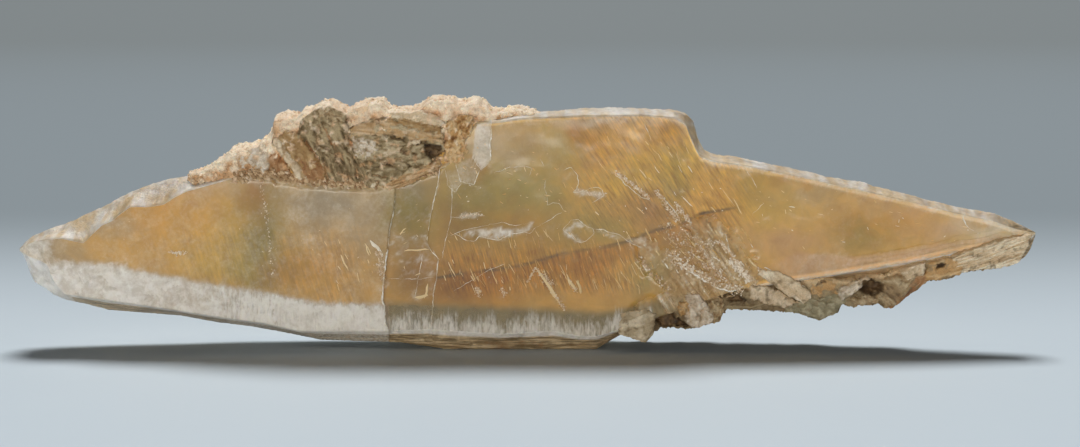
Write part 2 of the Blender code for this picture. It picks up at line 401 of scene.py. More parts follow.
# %% Outlines of the blade
TOP_EDGE = [
    (0, 26.6), (0.6, 27.3), (3, 29.1), (6, 30.4), (13, 32.8), (18.5, 35.4), (22.5, 37.3),
    (27.5, 40), (32, 41.8), (38, 43.6), (43, 44.2), (50.5, 45.8), (57, 49), (62, 51.5),
    (67, 54.5), (82, 57), (100, 58), (110, 59), (117, 60), (122.5, 59.6), (126.5, 60.8),
    (136.5, 60.6), (144.5, 61.4), (153, 61.7), (159.5, 61.4), (168.5, 61), (170.8, 60.4),
    (172.6, 58.6), (173, 57.2), (173.6, 54.6), (175.6, 50.9), (179, 49.6), (184.6, 49.1),
    (186.4, 48.6), (200, 45.9), (209.7, 43.7), (217, 42.7), (219.4, 41.7), (230.4, 39.1),
    (240.3, 36.6), (247.7, 35.4), (250.5, 34.8), (255.8, 32.5), (260, 30.4),
]
BOTTOM_EDGE = [
    (0, 24.6), (0.9, 22), (2, 19), (3.1, 16.9), (5.9, 15.5), (8, 13.9), (11, 12.6),
    (17, 11.2), (22, 9.8), (40.4, 8.2), (49.5, 6.4), (58.6, 5.2), (67.6, 3.7), (76.7, 2),
    (97.4, 1.7), (109, 0.1), (148, 0.1), (152, 2.5), (158.5, 6), (169, 9), (176.5, 12),
    (184, 14), (200, 16.5), (218, 19), (234, 21), (249, 22), (255.2, 22.6), (257.5, 24),
    (258.8, 26), (260, 29.6),
]
FACE_TOP = [
    (0, 26), (4, 28), (8, 28.8), (11.6, 29.3), (14, 28.8), (17.4, 28.1), (18.7, 29.3),
    (20, 30.6), (22.3, 32.7), (25, 33.9), (26.2, 35), (29.5, 37.4), (34, 37.4), (38, 38),
    (40.7, 39.8), (43.8, 41.4), (54.5, 44.4), (63, 46), (69, 44.6), (80.3, 43.6),
    (91, 43.1), (99.2, 44.6), (107.6, 47.7), (111.2, 51.7), (115.7, 58.6), (120.8, 58.9),
    (128.4, 59.8), (144.2, 60.5), (158.6, 60.7), (167.4, 60), (170.2, 58.3), (171.8, 54.2),
    (173.8, 50.2), (178.1, 48.8), (185.5, 47.8), (199.2, 45), (218.2, 40.7), (229, 38.2),
    (239, 35.6), (249.3, 33.3), (254.6, 31.4), (260, 30.2),
]
FACE_BOTTOM = [
    (0, 25.4), (4, 24.2), (7.9, 23), (9, 19.6), (10.3, 17.3), (12.3, 15), (28.8, 12.7),
    (41.7, 10.6), (54.4, 8.6), (63, 7.5), (71.9, 5.4), (95.2, 5.4), (105.6, 6),
    (123.2, 4.8), (136.5, 5.6), (143.6, 4.2), (148.2, 4.2), (158.9, 7.5), (169, 10.6),
    (176.7, 13.6), (184, 16), (199.5, 18.6), (217.3, 21.2), (233.7, 24.2), (247.6, 27),
    (256.5, 28.4), (260, 29.9),
]
FRONT_LINE = [(0, -6.2), (2.5, -8.5), (7.5, -10.9), (12, -11), (236, -11), (260, -9.2)]
BACK_LINE = [(0, 2.8), (58, 10.8), (186, 10.8), (260, -4.2)]
TOP_BLUNT = [(0, 0.8), (42, 1.5), (60, 4), (70, 6), (168, 6.5), (172, 5), (178, 2), (260, 0.7)]
FOOT_BLUNT = [(0, 0.8), (60, 2), (97, 6), (109, 6.8), (148, 6.8), (165, 5), (180, 3), (260, 0.7)]
BACK_TOP_INSET = [(0, 0.6), (20, 4), (60, 5), (120, 2), (168, 2.5), (180, 4), (240, 2), (260, 0.2)]
BACK_FOOT_INSET = [(0, 0.6), (20, 3), (60, 6), (130, 7), (180, 5), (240, 2), (260, 0.2)]

STEP_LEFT = [(94.9, 3), (94.9, 5.5), (93.9, 7.5), (93.9, 11.9), (93.2, 12.7), (93.5, 17.8),
             (94.3, 24.2), (95.1, 31.6), (96.2, 36.5), (96.7, 41.3), (96.9, 46)]
STEP_RIGHT = [(105.6, 3), (105.6, 6), (105.9, 8.8), (106.2, 14.7), (107, 19.1), (107.5, 24),
              (105.7, 26), (104.7, 28.1), (105.5, 33.9), (106.3, 38.3), (107.6, 43.4),
              (108, 48)]
STEP_LEFT_X = 94.5
STEP_RIGHT_X = 106.0
WINDOW_DEPTH = 1.1
SHEET_DEPTH = 0.5
print("%d points on the upper edge" % len(TOP_EDGE))

# %% [markdown]
# ## Rolling a grid round the ribs
#
# A grid is added, its long side is rolled round the section and its short side runs from
# tip to tip. Then the seam is merged and the two ends are filled, which gives one closed
# skin with even faces. Columns are free to sit where an edge has to be sharp: two of
# them lie close together along each cleavage step and bend with it.

# %% Grid roller
SEAM_GAP = 0.000002


def paint_layers(piece, layers):
    """Keep painted values on the points: one number each, or a colour of three."""
    for layer, values in layers.items():
        if values.ndim == 1:
            painted = piece.data.attributes.new(layer, "FLOAT", "POINT")
            painted.data.foreach_set("value", values.astype(np.float32))
        else:
            painted = piece.data.attributes.new(layer, "FLOAT_COLOR", "POINT")
            opaque = np.concatenate([values, np.ones((len(values), 1))], axis=1)
            painted.data.foreach_set("color", opaque.astype(np.float32).ravel())
    piece.data.update()


def roll_grid(name, columns, rows, shape):
    """A closed skin: shape gives each grid point its place, from its column and row."""
    deselect_all()
    bpy.ops.mesh.primitive_grid_add(x_subdivisions=columns, y_subdivisions=rows, size=2.0)
    skin = bpy.context.object
    skin.name = name
    skin.data.name = name
    flat = np.empty(len(skin.data.vertices) * 3)
    skin.data.vertices.foreach_get("co", flat)
    flat = flat.reshape(-1, 3)
    column = np.rint((flat[:, 0] + 1.0) / 2.0 * columns).astype(int)
    row = np.rint((flat[:, 1] + 1.0) / 2.0 * rows).astype(int)
    places, layers = shape(column, row)
    skin.data.vertices.foreach_set("co", places.astype(np.float32).ravel())
    paint_layers(skin, layers)
    bpy.ops.object.mode_set(mode="EDIT")
    bpy.ops.mesh.select_all(action="SELECT")
    bpy.ops.mesh.remove_doubles(threshold=SEAM_GAP)
    bpy.ops.mesh.select_all(action="DESELECT")
    bpy.ops.mesh.select_non_manifold()
    bpy.ops.mesh.fill()
    bpy.ops.mesh.select_all(action="SELECT")
    bpy.ops.mesh.normals_make_consistent(inside=False)
    bpy.ops.object.mode_set(mode="OBJECT")
    bpy.ops.object.shade_smooth()
    return skin


def spaced(start, end, step, extra=()):
    """Evenly spaced positions with a few extra ones."""
    even = np.linspace(start, end, int(round((end - start) / step)) + 1)
    return np.unique(np.round(np.concatenate([even, np.array(extra, float)]), 3))


def ring_table(rows):
    """For each row round a section: which stretch it is on, and how far along it."""
    stretch = np.repeat(np.arange(len(rows)), rows)
    share = np.concatenate([np.arange(count) / count for count in rows])
    return np.append(stretch, 0), np.append(share, 0.0)


def round_ring(corners, column, stretch, share):
    """Points round a section: straight stretches from each corner to the next."""
    y = np.zeros(len(column))
    z = np.zeros(len(column))
    for number, (y0, z0) in enumerate(corners):
        y1, z1 = corners[(number + 1) % len(corners)]
        here = stretch == number
        part = share[here]
        y[here] = y0[column[here]] * (1.0 - part) + y1[column[here]] * part
        z[here] = z0[column[here]] * (1.0 - part) + z1[column[here]] * part
    return y, z


print("roller ready")

# %% [markdown]
# ## Colours of the clay
#
# Fine clay caught in the crystal gives the blade its honey, olive and rust colours. They are
# soft clouds: each is an oval with a name, a place, a size and a strength. The growth seam
# and the top of the milky band are lines that the clouds and the fibres keep to.

# %% Colours of the clay
CLEAR_START = 95.0
SEAM = [(107.2, 19), (115.6, 20.5), (123.2, 21.3), (130.3, 22.6), (139.3, 25.4), (149.4, 26.9),
        (155.3, 28.2), (161.4, 30.8), (169, 32.8), (174, 35.4), (179.9, 36.4), (185.7, 37.4)]
BAND_TOP = [
    (0, 24), (7.7, 23.6), (18, 23.6), (24.7, 23.1), (31, 21.3), (41.7, 19.5), (46.3, 18.5),
    (55.9, 16.9), (63, 15.9), (73.7, 13.6), (81, 12.8), (93.6, 12.8), (108, 12.5), (123, 11.8),
    (138.5, 11.2), (148.7, 10.4), (160, 12.5), (172, 15), (184, 19), (199.4, 26), (206, 25.4),
    (213.4, 24.7), (223.3, 25.8), (233.2, 27.6), (246.3, 29.6), (260, 30),
]
# The last colour is no clay: it is painted shade, the grey-green that the clear band shows of the shade
# behind it.
CLAY = {
    "honey": (0.92, 0.62, 0.17), "orange": (0.96, 0.54, 0.08), "amber": (0.80, 0.46, 0.07),
    "gold": (0.90, 0.66, 0.13), "olive": (0.38, 0.33, 0.06), "green": (0.56, 0.52, 0.15),
    "rust": (0.62, 0.28, 0.03), "brown": (0.44, 0.25, 0.05), "beige": (0.66, 0.54, 0.31),
    "grey": (0.47, 0.42, 0.28), "white": (0.88, 0.82, 0.70), "peach": (0.92, 0.62, 0.32),
    "mauve": (0.52, 0.31, 0.12), "seen_through_shade": (0.40, 0.37, 0.19),
}
CLOUDS = [
    ("orange", 38, 34, 17, 9, 0.65), ("honey", 30, 28, 14, 6, 0.5), ("gold", 52, 27, 11, 8, 0.7),
    ("olive", 63, 30, 7, 15, 0.85), ("green", 60, 22, 9, 5, 0.55), ("rust", 62, 41, 3.5, 5, 0.75),
    ("grey", 80, 39, 12, 8, 0.9), ("beige", 88, 33, 9, 12, 0.75), ("amber", 77, 22, 10, 5, 0.7),
    ("brown", 67, 19, 6, 4, 0.5), ("peach", 46, 42, 9, 3, 0.6), ("beige", 55, 45, 11, 3, 0.7),
    ("olive", 100, 37, 6, 9, 0.9), ("brown", 101, 21, 6, 9, 0.85), ("grey", 101, 44, 6, 4, 0.6),
    ("olive", 116, 39, 9, 10, 0.8), ("green", 130, 42, 12, 9, 0.75), ("beige", 122, 52, 12, 5, 0.7),
    ("brown", 112, 33, 6, 7, 0.7), ("rust", 117, 46, 3, 3, 0.5), ("amber", 125, 33, 10, 3, 0.7),
    ("rust", 118, 19, 12, 7, 0.75), ("amber", 133, 21, 14, 7, 0.85), ("brown", 111, 17, 5, 6, 0.6),
    ("rust", 145, 20, 8, 5, 0.5), ("green", 163, 20, 5, 5, 0.8), ("green", 147, 31, 8, 4, 0.7),
    ("orange", 150, 50, 12, 10, 0.75), ("gold", 155, 44, 10, 8, 0.8), ("green", 139, 53, 5, 5, 0.6),
    ("rust", 144, 57, 3.5, 5, 0.75), ("rust", 166, 56, 4, 4, 0.7), ("gold", 170, 50, 8, 7, 0.8),
    ("mauve", 160, 37, 8, 5, 0.85), ("beige", 152, 60, 16, 2.5, 0.8), ("olive", 168, 46, 3, 6, 0.5),
    ("orange", 182, 40, 9, 6, 0.6), ("gold", 192, 38, 12, 7, 0.7), ("olive", 186, 43, 5, 4, 0.45),
    ("rust", 198, 44.5, 6, 1.6, 0.6), ("peach", 198, 29, 11, 5, 0.7), ("honey", 214, 34, 12, 6, 0.8),
    ("olive", 216, 30, 8, 4, 0.55), ("orange", 224, 33, 7, 3.5, 0.6), ("peach", 238, 31, 10, 4, 0.8),
    ("white", 248, 31, 9, 5, 0.6), ("orange", 245.5, 33.2, 3, 1.4, 0.7), ("mauve", 172, 21, 10, 9, 0.7),
    ("beige", 8, 26, 8, 8, 0.9), ("beige", 22, 33, 10, 3, 0.6), ("olive", 126, 38, 20, 12, 0.3),
    ("beige", 206, 41, 14, 3, 0.5), ("peach", 226, 37, 12, 2.5, 0.5), ("rust", 213, 33, 5, 2, 0.3),
    ("brown", 135, 30, 22, 8, 0.25), ("brown", 150, 56, 20, 6, 0.15),
]
print(len(CLOUDS), "clouds of clay")

# %% [markdown]
# ## Painting the clay
#
# The clouds are laid one over another as a painter would, ragged by noise, and each point
# keeps the colour it ends with. Fibres comb through them, upright below the growth seam and
# slanting above it. Red, green and blue are kept as three separate numbers.

# %% Painting the clay


def blend(colour, other, share):
    """Rows of colours moved toward another colour, each row by its own share."""
    return colour + (np.array(other) - colour) * share[:, None]


def cloud_share(x, z, centre_x, centre_z, half_x, half_z):
    """A soft oval: 1 at its centre, 0 outside."""
    return np.exp(-(((x - centre_x) / half_x) ** 2 + ((z - centre_z) / half_z) ** 2))


def clay_colour(x, y, z):
    """The clay's colour at each point: honey, then each cloud over it, ragged by noise."""
    drift_x = x + 3.2 * speckle(x, y, z, 9.0) + 1.2 * speckle(x, y, z + 50.0, 2.6)
    drift_z = z + 3.2 * speckle(x, y + 30.0, z, 9.0) + 1.2 * speckle(x + 70.0, y, z, 2.6)
    colour = np.tile(CLAY["honey"], (len(x), 1))
    for name, centre_x, centre_z, half_x, half_z, strength in CLOUDS:
        share = cloud_share(drift_x, drift_z, centre_x, centre_z, half_x, half_z) * strength
        colour = blend(colour, CLAY[name], share)
    low = ease(-0.8, 1.6, follow(BAND_TOP, x) - z) * (x < 170.0)
    milky = blend(np.array(CLAY["beige"]), CLAY["white"], ease(-0.7, 0.4, speckle(x, y, z, 5.0)))
    # past the clear start the band is painted grey-green: painted shade seen through clear crystal
    milky = blend(milky, CLAY["seen_through_shade"], ease(CLEAR_START - 1.0, CLEAR_START, x))
    colour = blend(colour, milky, 0.92 * low)
    sunk = follow(SEAM, x) - z + 0.5 * speckle(x, 4.0, z, 3.0)
    shade = ease(-0.3, 0.5, sunk) * ease(10.0, 1.0, sunk) * ease(105.0, 108.0, x) * ease(186.0, 176.0, x)
    colour = colour * (1.0 - 0.55 * shade[:, None] * np.array([0.30, 0.48, 0.62]))
    right = ease(-0.3, 0.9, follow(BAND_TOP, x) - z) * ease(186.0, 200.0, x)
    colour = blend(colour, CLAY["peach"], 0.75 * right)
    warmth = np.array([0.10, 0.20, 0.24]) * ease(250.0, 228.0, x)[:, None]
    return colour * (1.0 - warmth)


def fibre_layers(x, y, z):
    """Where fibres stand upright, where they slant, and the growth seam."""
    upright = ease(13.0, 17.0, z) * ease(30.0, 25.0, z) * ease(106.0, 112.0, x) * ease(163.0, 156.0, x)
    upright = np.maximum(upright, 0.45 * ease(94.0, 84.0, x) * ease(20.0, 60.0, x) * ease(36.0, 28.0, z))
    slant = ease(136.0, 150.0, x) * ease(192.0, 180.0, x) * ease(26.0, 36.0, z)
    seam = np.exp(-(near_line(SEAM, x, z) / 0.5) ** 2) * (y < 0.0)
    seam = seam * (0.75 + 0.25 * ease(158.0, 166.0, x) * ease(186.0, 178.0, x)) * ease(187.0, 179.0, x)
    seam = seam * np.clip(0.8 + 0.8 * speckle(x, 0.0, z, 6.0), 0.2, 1.0)
    red, green, blue = clay_colour(x, y, z).T
    clay = {"clay_red": red, "clay_green": green, "clay_blue": blue}
    return {**clay, "upright": upright, "slant": slant, "seam": seam}


print("clay ready to paint")

# %% [markdown]
# ## The clay in a finish
#
# The painted colour is too smooth by itself, so noise clouds it, stretched noise combs it
# with light and dark fibres, and the seam crosses it as a brown line. The skin and the core
# share this pattern, so the fibres of the two line up.

# %% Clay in a finish
UPRIGHT_LEAN = 16.0
SLANT_LEAN = 33.0


def clay_pattern(finish):
    """The painted clay, clouded, combed with fibres and crossed by the seam."""
    fine = finish.noise(0.6, 3.0, 0.65)
    cloud = finish.noise(5.0, 6.0, 0.62, warp=0.6)
    upright_mm = finish.scaled(finish.turned(finish.mm, UPRIGHT_LEAN), (1.3, 1.0, 0.17))
    slanted_mm = finish.scaled(finish.turned(finish.mm, SLANT_LEAN), (1.25, 1.0, 0.16))
    upright = finish.noise(0.75, 4.0, 0.62, vector=upright_mm, warp=0.2)
    slant = finish.noise(0.80, 5.0, 0.62, vector=slanted_mm, warp=0.2)
    shares = [finish.layer(name) for name in ("clay_red", "clay_green", "clay_blue")]
    colour = finish.node("ShaderNodeCombineColor", {"mode": "RGB"}, dict(enumerate(shares)))[0]
    colour = finish.mix(colour, (1.28, 1.22, 1.12), (cloud - 0.42).step(0.0, 0.25) * 0.65, "MULTIPLY")
    colour = finish.mix(colour, (0.68, 0.54, 0.42), (0.48 - cloud).step(0.0, 0.25) * 0.5, "MULTIPLY")
    for fibres, here in [(upright, finish.layer("upright")), (slant, finish.layer("slant"))]:
        dark = fibres.step(0.50, 0.66) * here * 0.75
        colour = finish.mix(colour, (0.54, 0.39, 0.26), dark, "MULTIPLY")
        colour = finish.mix(colour, (1.50, 1.38, 1.18), fibres.step(0.50, 0.34) * here, "MULTIPLY")
    colour = finish.mix(colour, (0.17, 0.10, 0.04), finish.layer("seam").step(0.05, 0.8) * 0.85)
    return finish.mix(colour, (0.86, 0.74, 0.54), (fine - 0.50).step(0.10, 0.30) * 0.35)


print("clay pattern ready")

# %% [markdown]
# ## The section of the blade
#
# The section has eight corners, and eight stretches run between them. The wide front face
# gets the most rows, because the cleavage steps and the broken patch lie there. Columns
# close to a step move sideways with height, so that the step stays sharp as it wanders.

# %% Section of the blade
RING_ROWS = [84, 9, 8, 5, 36, 6, 6, 11]
FRONT_ROWS, TOP_BEVEL, TOP_FLAT, BACK_BEVEL, BACK_ROWS, FOOT_BACK, FOOT_FLAT, FOOT_BEVEL = range(8)
COLUMN_STEP = 0.56
STEP_GAP = 0.05


def section_corners(x):
    """The eight corners of the section at each x, in ring order, as (y, z) arrays."""
    front = follow(FRONT_LINE, x)
    back = follow(BACK_LINE, x)
    middle = (front + back) / 2.0
    room = (back - front) / 2.0 - 0.4
    ragged = 0.22 * speckle(x, 0.0, 3.0, 2.2) + 0.12 * speckle(x, 9.0, 0.0, 0.9, 2)
    ragged = ragged * ease(0.0, 6.0, x) * ease(260.0, 255.0, x)
    top = follow(TOP_EDGE, x) + ragged
    bottom = follow(BOTTOM_EDGE, x) + 0.7 * np.abs(ragged)
    top_blunt = np.minimum(follow(TOP_BLUNT, x), room)
    foot_blunt = np.minimum(follow(FOOT_BLUNT, x), room)
    return [
        (front, follow(FACE_BOTTOM, x)),
        (front, follow(FACE_TOP, x)),
        (middle - top_blunt, top),
        (middle + top_blunt, top),
        (back, top - follow(BACK_TOP_INSET, x)),
        (back, bottom + follow(BACK_FOOT_INSET, x)),
        (middle + foot_blunt, bottom),
        (middle - foot_blunt, bottom),
    ]


def bend_with_steps(x, z):
    """How far a column moves sideways at height z, so that it follows a cleavage step."""
    left = np.interp(z, [p[1] for p in STEP_LEFT], [p[0] for p in STEP_LEFT]) - STEP_LEFT_X
    right = np.interp(z, [p[1] for p in STEP_RIGHT], [p[0] for p in STEP_RIGHT]) - STEP_RIGHT_X
    across = np.clip((x - STEP_LEFT_X) / (STEP_RIGHT_X - STEP_LEFT_X), 0.0, 1.0)
    fade = ease(60.0, STEP_LEFT_X, x) * ease(140.0, STEP_RIGHT_X, x)
    return (left * (1.0 - across) + right * across) * fade


print(sum(RING_ROWS), "rows round the blade")

# %% [markdown]
# ## Relief of the wide face
#
# The wide face is a cleavage plane. A thin sheet has come off between the two steps, a
# thinner one to their right, and a patch has broken away rough near the thin half: long
# slanted bars with a sugary streak across them. Depths are in millimetres into the crystal.

# %% Relief of the wide face
SLANTED_BARS = [(171.5, 34), (177.5, 34), (184, 27.5), (189, 19), (187, 15), (179, 20), (173, 27)]
SUGAR_STREAK = [(157.5, 28.5), (162.5, 27.5), (171.5, 21), (180, 18), (188.5, 17.5), (184, 11),
                (168, 14), (160.5, 21)]
TORN_FOOT = [(157, 12), (169, 16.5), (184, 16.5), (186, 10), (171, 3), (157, 3)]
STREAK_SLANT = math.radians(-57)


def slanted(x, z, angle, stretch):
    """Coordinates turned by an angle, with the long way of the grain squeezed."""
    along = (x * math.cos(angle) + z * math.sin(angle)) / stretch
    across = -x * math.sin(angle) + z * math.cos(angle)
    return along, across


def sheet_depth(column_x):
    """Depth of the cleavage sheets that have come off, by column."""
    window = (column_x > STEP_LEFT_X) & (column_x < STEP_RIGHT_X)
    return np.where(window, WINDOW_DEPTH, np.where(column_x >= STEP_RIGHT_X, SHEET_DEPTH, 0.0))


def soft_inside(ring, x, z, ragged, fade):
    """0 outside an outline, 1 well inside it, with a ragged and faded border."""
    return ease(-fade, fade, inside(ring, x, z) + ragged * speckle(x, 2.0, z, 2.6))


def break_share(x, z):
    """How broken the face is: bars, a sugary streak and the torn foot below them."""
    bars = 0.85 * soft_inside(SLANTED_BARS, x, z, 2.4, 2.0)
    sugar = soft_inside(SUGAR_STREAK, x, z, 2.2, 1.4)
    return np.maximum(np.maximum(bars, sugar), soft_inside(TORN_FOOT, x, z, 1.4, 1.2))


def bars_and_sugar(x, z):
    """Crests of the broken face, 0 to 1: long slanted bars, and small lumps on the streak."""
    along, across = slanted(x, z, STREAK_SLANT, 6.0)
    bars = ridges(along, 5.0, across, 1.9, 3)
    lumps = 0.5 + 0.6 * speckle(x, 5.0, z, 1.3) + 0.25 * speckle(x, 8.0, z, 3.0)
    share = soft_inside(SUGAR_STREAK, x, z, 2.2, 1.4)
    return bars * (1.0 - share) + np.clip(0.35 * bars + 0.65 * lumps, 0.0, 1.0) * share


def face_relief(column_x, x, z):
    """Depth into the crystal of the wide face, in millimetres."""
    depth = sheet_depth(column_x) + 0.10 * (1.0 + speckle(x, 0.0, z, 24.0))
    depth = depth + break_share(x, z) * (0.1 + 0.9 * (1.0 - bars_and_sugar(x, z)))
    depth = depth + 0.10 * (0.5 + 0.5 * speckle(x, 6.0, z, 5.0)) * (column_x > STEP_RIGHT_X)
    under_crust = ease(58.0, 64.0, x) * ease(119.0, 114.0, x)
    below_top = follow(FACE_TOP, x) - z + 0.8 * speckle(x, 3.0, 0.0, 1.5)
    depth = depth + 0.9 * ease(2.2, 0.0, below_top) * under_crust
    above = z - follow(FACE_BOTTOM, x)
    layer = np.floor(np.clip((5.2 - above + 0.8 * speckle(x, 1.0, z, 7.0)) / 1.25, 0.0, 4.0))
    depth = depth + 0.38 * layer * ease(204.0, 226.0, x)
    return depth


print("relief ready")

# %% [markdown]
# ## Where things lie on the skin
#
# The finish has to know what the surface is like at each point. First come the places: the
# bare window between the steps, the milky band along the foot, the broken patch, the join
# under the crust, the creases round the face and the corner of the back behind the clear
# band, painted grey-green as the shade seen through it.

# %% Places on the skin
CRUST_END = 118.0
BREAK_START = 162.0
THIN_HALF = (188.0, 212.0)


def skin_marks(column_x, x, y, z, stretch, share):
    """Masks of the places on the skin: each is true or false, or from 0 to 1."""
    at = SimpleNamespace(x=x, y=y, z=z, stretch=stretch, share=share)
    at.front = stretch == FRONT_ROWS
    at.cloud = speckle(x, y, z, 11.0)
    at.left = column_x <= STEP_LEFT_X
    at.window = (column_x > STEP_LEFT_X) & (column_x < STEP_RIGHT_X)
    at.beyond = (column_x > STEP_LEFT_X) & (x < BREAK_START)
    at.thin_half = ease(*THIN_HALF, x) * at.front
    at.below_top = follow(FACE_TOP, x) - z
    at.height = z - follow(FACE_BOTTOM, x)
    at.band_edge = follow(BAND_TOP, x) - z + 0.6 * speckle(x, 3.0, z, 1.6)
    at.band_edge = at.band_edge + 0.8 * speckle(x, 3.0, z / 3.0, 2.4)
    at.in_band = ease(-0.8, 1.8, at.band_edge)
    at.creases = np.minimum(np.abs(at.below_top), np.abs(at.height) + 4.0 * (x < 186.0))
    at.past_crust = x > CRUST_END
    join = ease(58.0, 62.0, x) * ease(117.0, 112.0, x)
    join = join * ease(1.9, 0.9, at.below_top + 0.7 * speckle(x, 3.0, z, 1.2))
    at.join = join * np.where(at.front | ((stretch == TOP_BEVEL) & (share < 0.5)), 1.0, 0.0)
    broken = np.where(at.front | (stretch == FOOT_BEVEL), break_share(x, z), 0.0)
    at.broken = broken * (0.35 + 0.65 * ease(157.0, 171.0, x + 3.0 * at.cloud))
    at.crest = bars_and_sugar(x, z)
    behind = ease(91.0, 101.0, x + 3.0 * at.cloud) * ease(164.0, 150.0, x + 3.0 * at.cloud)
    at.behind = behind * ease(17.0, 12.0, z + 3.0 * at.cloud) * np.isin(stretch, (BACK_ROWS, FOOT_BACK))
    return at


print("places ready")

# %% [markdown]
# ## Frost on the skin
#
# Frost is how far the clear gypsum is splintered white: a little everywhere, more in the
# milky band and at the rims, and most on the flakes, in the creases and on the bevels. The
# flakes, and the loose plates right of the window, have outlines of their own.

# %% Frost
FLAKES = [
    [(113.1, 29.3), (114.4, 31.1), (118.2, 31.8), (123.3, 32.3), (128.3, 31.8), (132.1, 33.9),
     (130.9, 30.8), (128.3, 30.1), (124.5, 28.8), (122, 28.5), (117.7, 29.3)],
    [(139.2, 31.3), (142.3, 33.9), (146.1, 32.3), (146.8, 30.6), (144.8, 31.4), (142.6, 32),
     (141.2, 30.6), (144.6, 28.2), (142.3, 27.9), (139.7, 29.8)],
    [(146.8, 31.8), (151.1, 30.8), (154.9, 29.3), (158.8, 29.8), (161.3, 29.3), (160.8, 26.3),
     (157.5, 27.3), (153.7, 28.8), (149.9, 29.6)],
    [(111.9, 34.4), (113.6, 35.4), (116.9, 35.9), (119.2, 35.6), (118.2, 34.6), (114.6, 33.9)],
    [(140.5, 41), (143, 42), (146.1, 41.5), (149.6, 41.5), (150.6, 39.7), (148.1, 38.9), (146.1, 40),
     (143.5, 39.7)],
]
PLATES = [
    ([(117.4, 60.4), (121, 60), (120.9, 49), (118.5, 46.5), (116.2, 50)], 0.55),
    ([(112, 48.3), (115.7, 50), (117.9, 46.6), (116.7, 42.8), (113.1, 43.6)], 0.30),
    ([(109.4, 46.6), (112.7, 47), (113.5, 43.4), (112, 40.8), (110.2, 42.4)], 0.24),
]


def frost_layer(at):
    """How frosted each point is, from 0 for clear."""
    x, z, cloud, front, left = at.x, at.z, at.cloud, at.front, at.left
    frost = 0.02 + 0.09 * cloud + 0.13 * left
    frost = frost + 0.09 * ease(62.0, 78.0, x) * ease(24.0, 40.0, z + 4.0 * cloud) * left
    frost = frost + 0.20 * ease(89.0, 95.0, x) * ease(30.0, 20.0, z) * left
    milky = 0.70 + 0.22 * cloud + 0.10 * ease(62.0, 85.0, x)
    frost = np.where(left, frost * (1.0 - at.in_band) + milky * at.in_band, frost)
    frost = np.where(at.window, 0.10 + 0.10 * cloud, frost)
    frost = np.where(at.beyond, frost * (1.0 - 0.5 * at.in_band), frost)
    plateau = ease(3.2, 0.6, at.below_top) * ease(119.0, 124.0, x) * ease(174.0, 168.0, x)
    frost = frost + 0.22 * plateau
    thin_rim = ease(2.2, 0.3, at.below_top) * ease(170.0, 178.0, x)
    frost = frost + 0.40 * thin_rim
    lavender = ease(-0.6, 0.8, at.band_edge) * ease(190.0, 202.0, x)
    frost = frost + 0.20 * lavender + 0.22 * ease(240.0, 254.0, x)
    tip = ease(13.0, 5.0, x + 2.5 * speckle(x, 3.0, z, 3.0)) * front
    frost = np.maximum(frost, (0.8 + 0.2 * cloud) * tip)
    for flake in FLAKES:
        edge = inside(flake, x, z) + 0.4 * speckle(x, 7.0, z, 1.5)
        frost = frost + front * (0.56 + 0.4 * speckle(x, 2.0, z, 1.2)) * ease(-0.4, 0.9, edge)
    for plate, amount in PLATES:
        on_plate = front * amount * ease(-0.2, 0.3, inside(plate, x, z))
        frost = np.maximum(frost, on_plate * (1.0 + 0.2 * cloud))
    creased = front * (0.50 + 0.4 * speckle(x, 4.0, z, 1.4)) * ease(0.9, 0.3, at.creases)
    frost = np.maximum(frost, creased * at.past_crust)
    window_crust = at.window * ease(0.05, 0.7, speckle(x, 5.0, z, 1.9))
    window_crust = window_crust * ease(7.0, 10.0, z) * ease(39.0, 36.0, z)
    frost = frost + 0.30 * window_crust * front + 0.05 * at.thin_half
    frost = np.maximum(frost, 0.9 * at.join)
    frost = np.maximum(frost, at.broken * (0.45 + 0.55 * ease(0.42, 0.80, at.crest)))
    rims = {TOP_BEVEL: np.where(x < 119.0, 0.82 + 0.2 * cloud, 0.72 + 0.2 * cloud),
            FOOT_BEVEL: 0.82 + 0.2 * cloud, FOOT_FLAT: 0.85, TOP_FLAT: 0.85 + 0.1 * cloud}
    frost = np.select([at.stretch == rim for rim in rims], list(rims.values()), frost)
    on_back = np.isin(at.stretch, (BACK_ROWS, BACK_BEVEL, FOOT_BACK))
    frost = np.where(on_back, 0.34 + 0.26 * cloud, frost)
    return frost + (0.75 + 0.2 * cloud - frost) * at.behind


print(len(FLAKES), "flakes and", len(PLATES), "plates")

# %% [markdown]
# ## Dirt, rust and haze on the skin
#
# Sand dust turns frost tan, and iron in the water turned it rusty along the foot. Where the
# skin is whole, the clay right under it still clouds it: that is the haze, which lets less
# light through and shows the clay's own colours. White wisps grow up from the foot.

# %% Dirt and haze


def tan_layer(at):
    """How tan the frost is."""
    x, y, z, stretch, front = at.x, at.y, at.z, at.stretch, at.front
    tan = 0.30 + 0.35 * speckle(x, y, z, 16.0)
    tan = np.where(stretch == FOOT_BEVEL, ease(0.85, 0.55, at.share), tan)
    warm_rim = 0.38 + 0.12 * ease(60.0, 20.0, x) + 0.22 * ease(150.0, 185.0, x)
    warm_rim = warm_rim + 0.3 * speckle(x, 2.0, z, 6.0) + 0.3 * speckle(x, 2.0, z, 1.8)
    sandy_top = ease(48.0, 60.0, x) * ease(121.0, 116.0, x)
    tan = np.where((stretch == TOP_BEVEL) | (stretch == TOP_FLAT), warm_rim + 0.5 * sandy_top, tan)
    tan = np.where(np.isin(stretch, (FOOT_FLAT, FOOT_BACK)), 0.9, tan)
    tan = np.where(front & (at.in_band * at.left > 0.5), 0.05, tan)
    tan = tan + (0.45 + 0.3 * at.cloud - tan) * at.thin_half
    tan = np.where((stretch == FOOT_BEVEL) & (x < 14.0), 0.15 + 0.3 * ease(6.0, 14.0, x), tan)
    tan = tan + (1.0 - 0.45 * ease(0.62, 1.0, at.crest) - tan) * at.broken
    return np.maximum(tan, at.join)


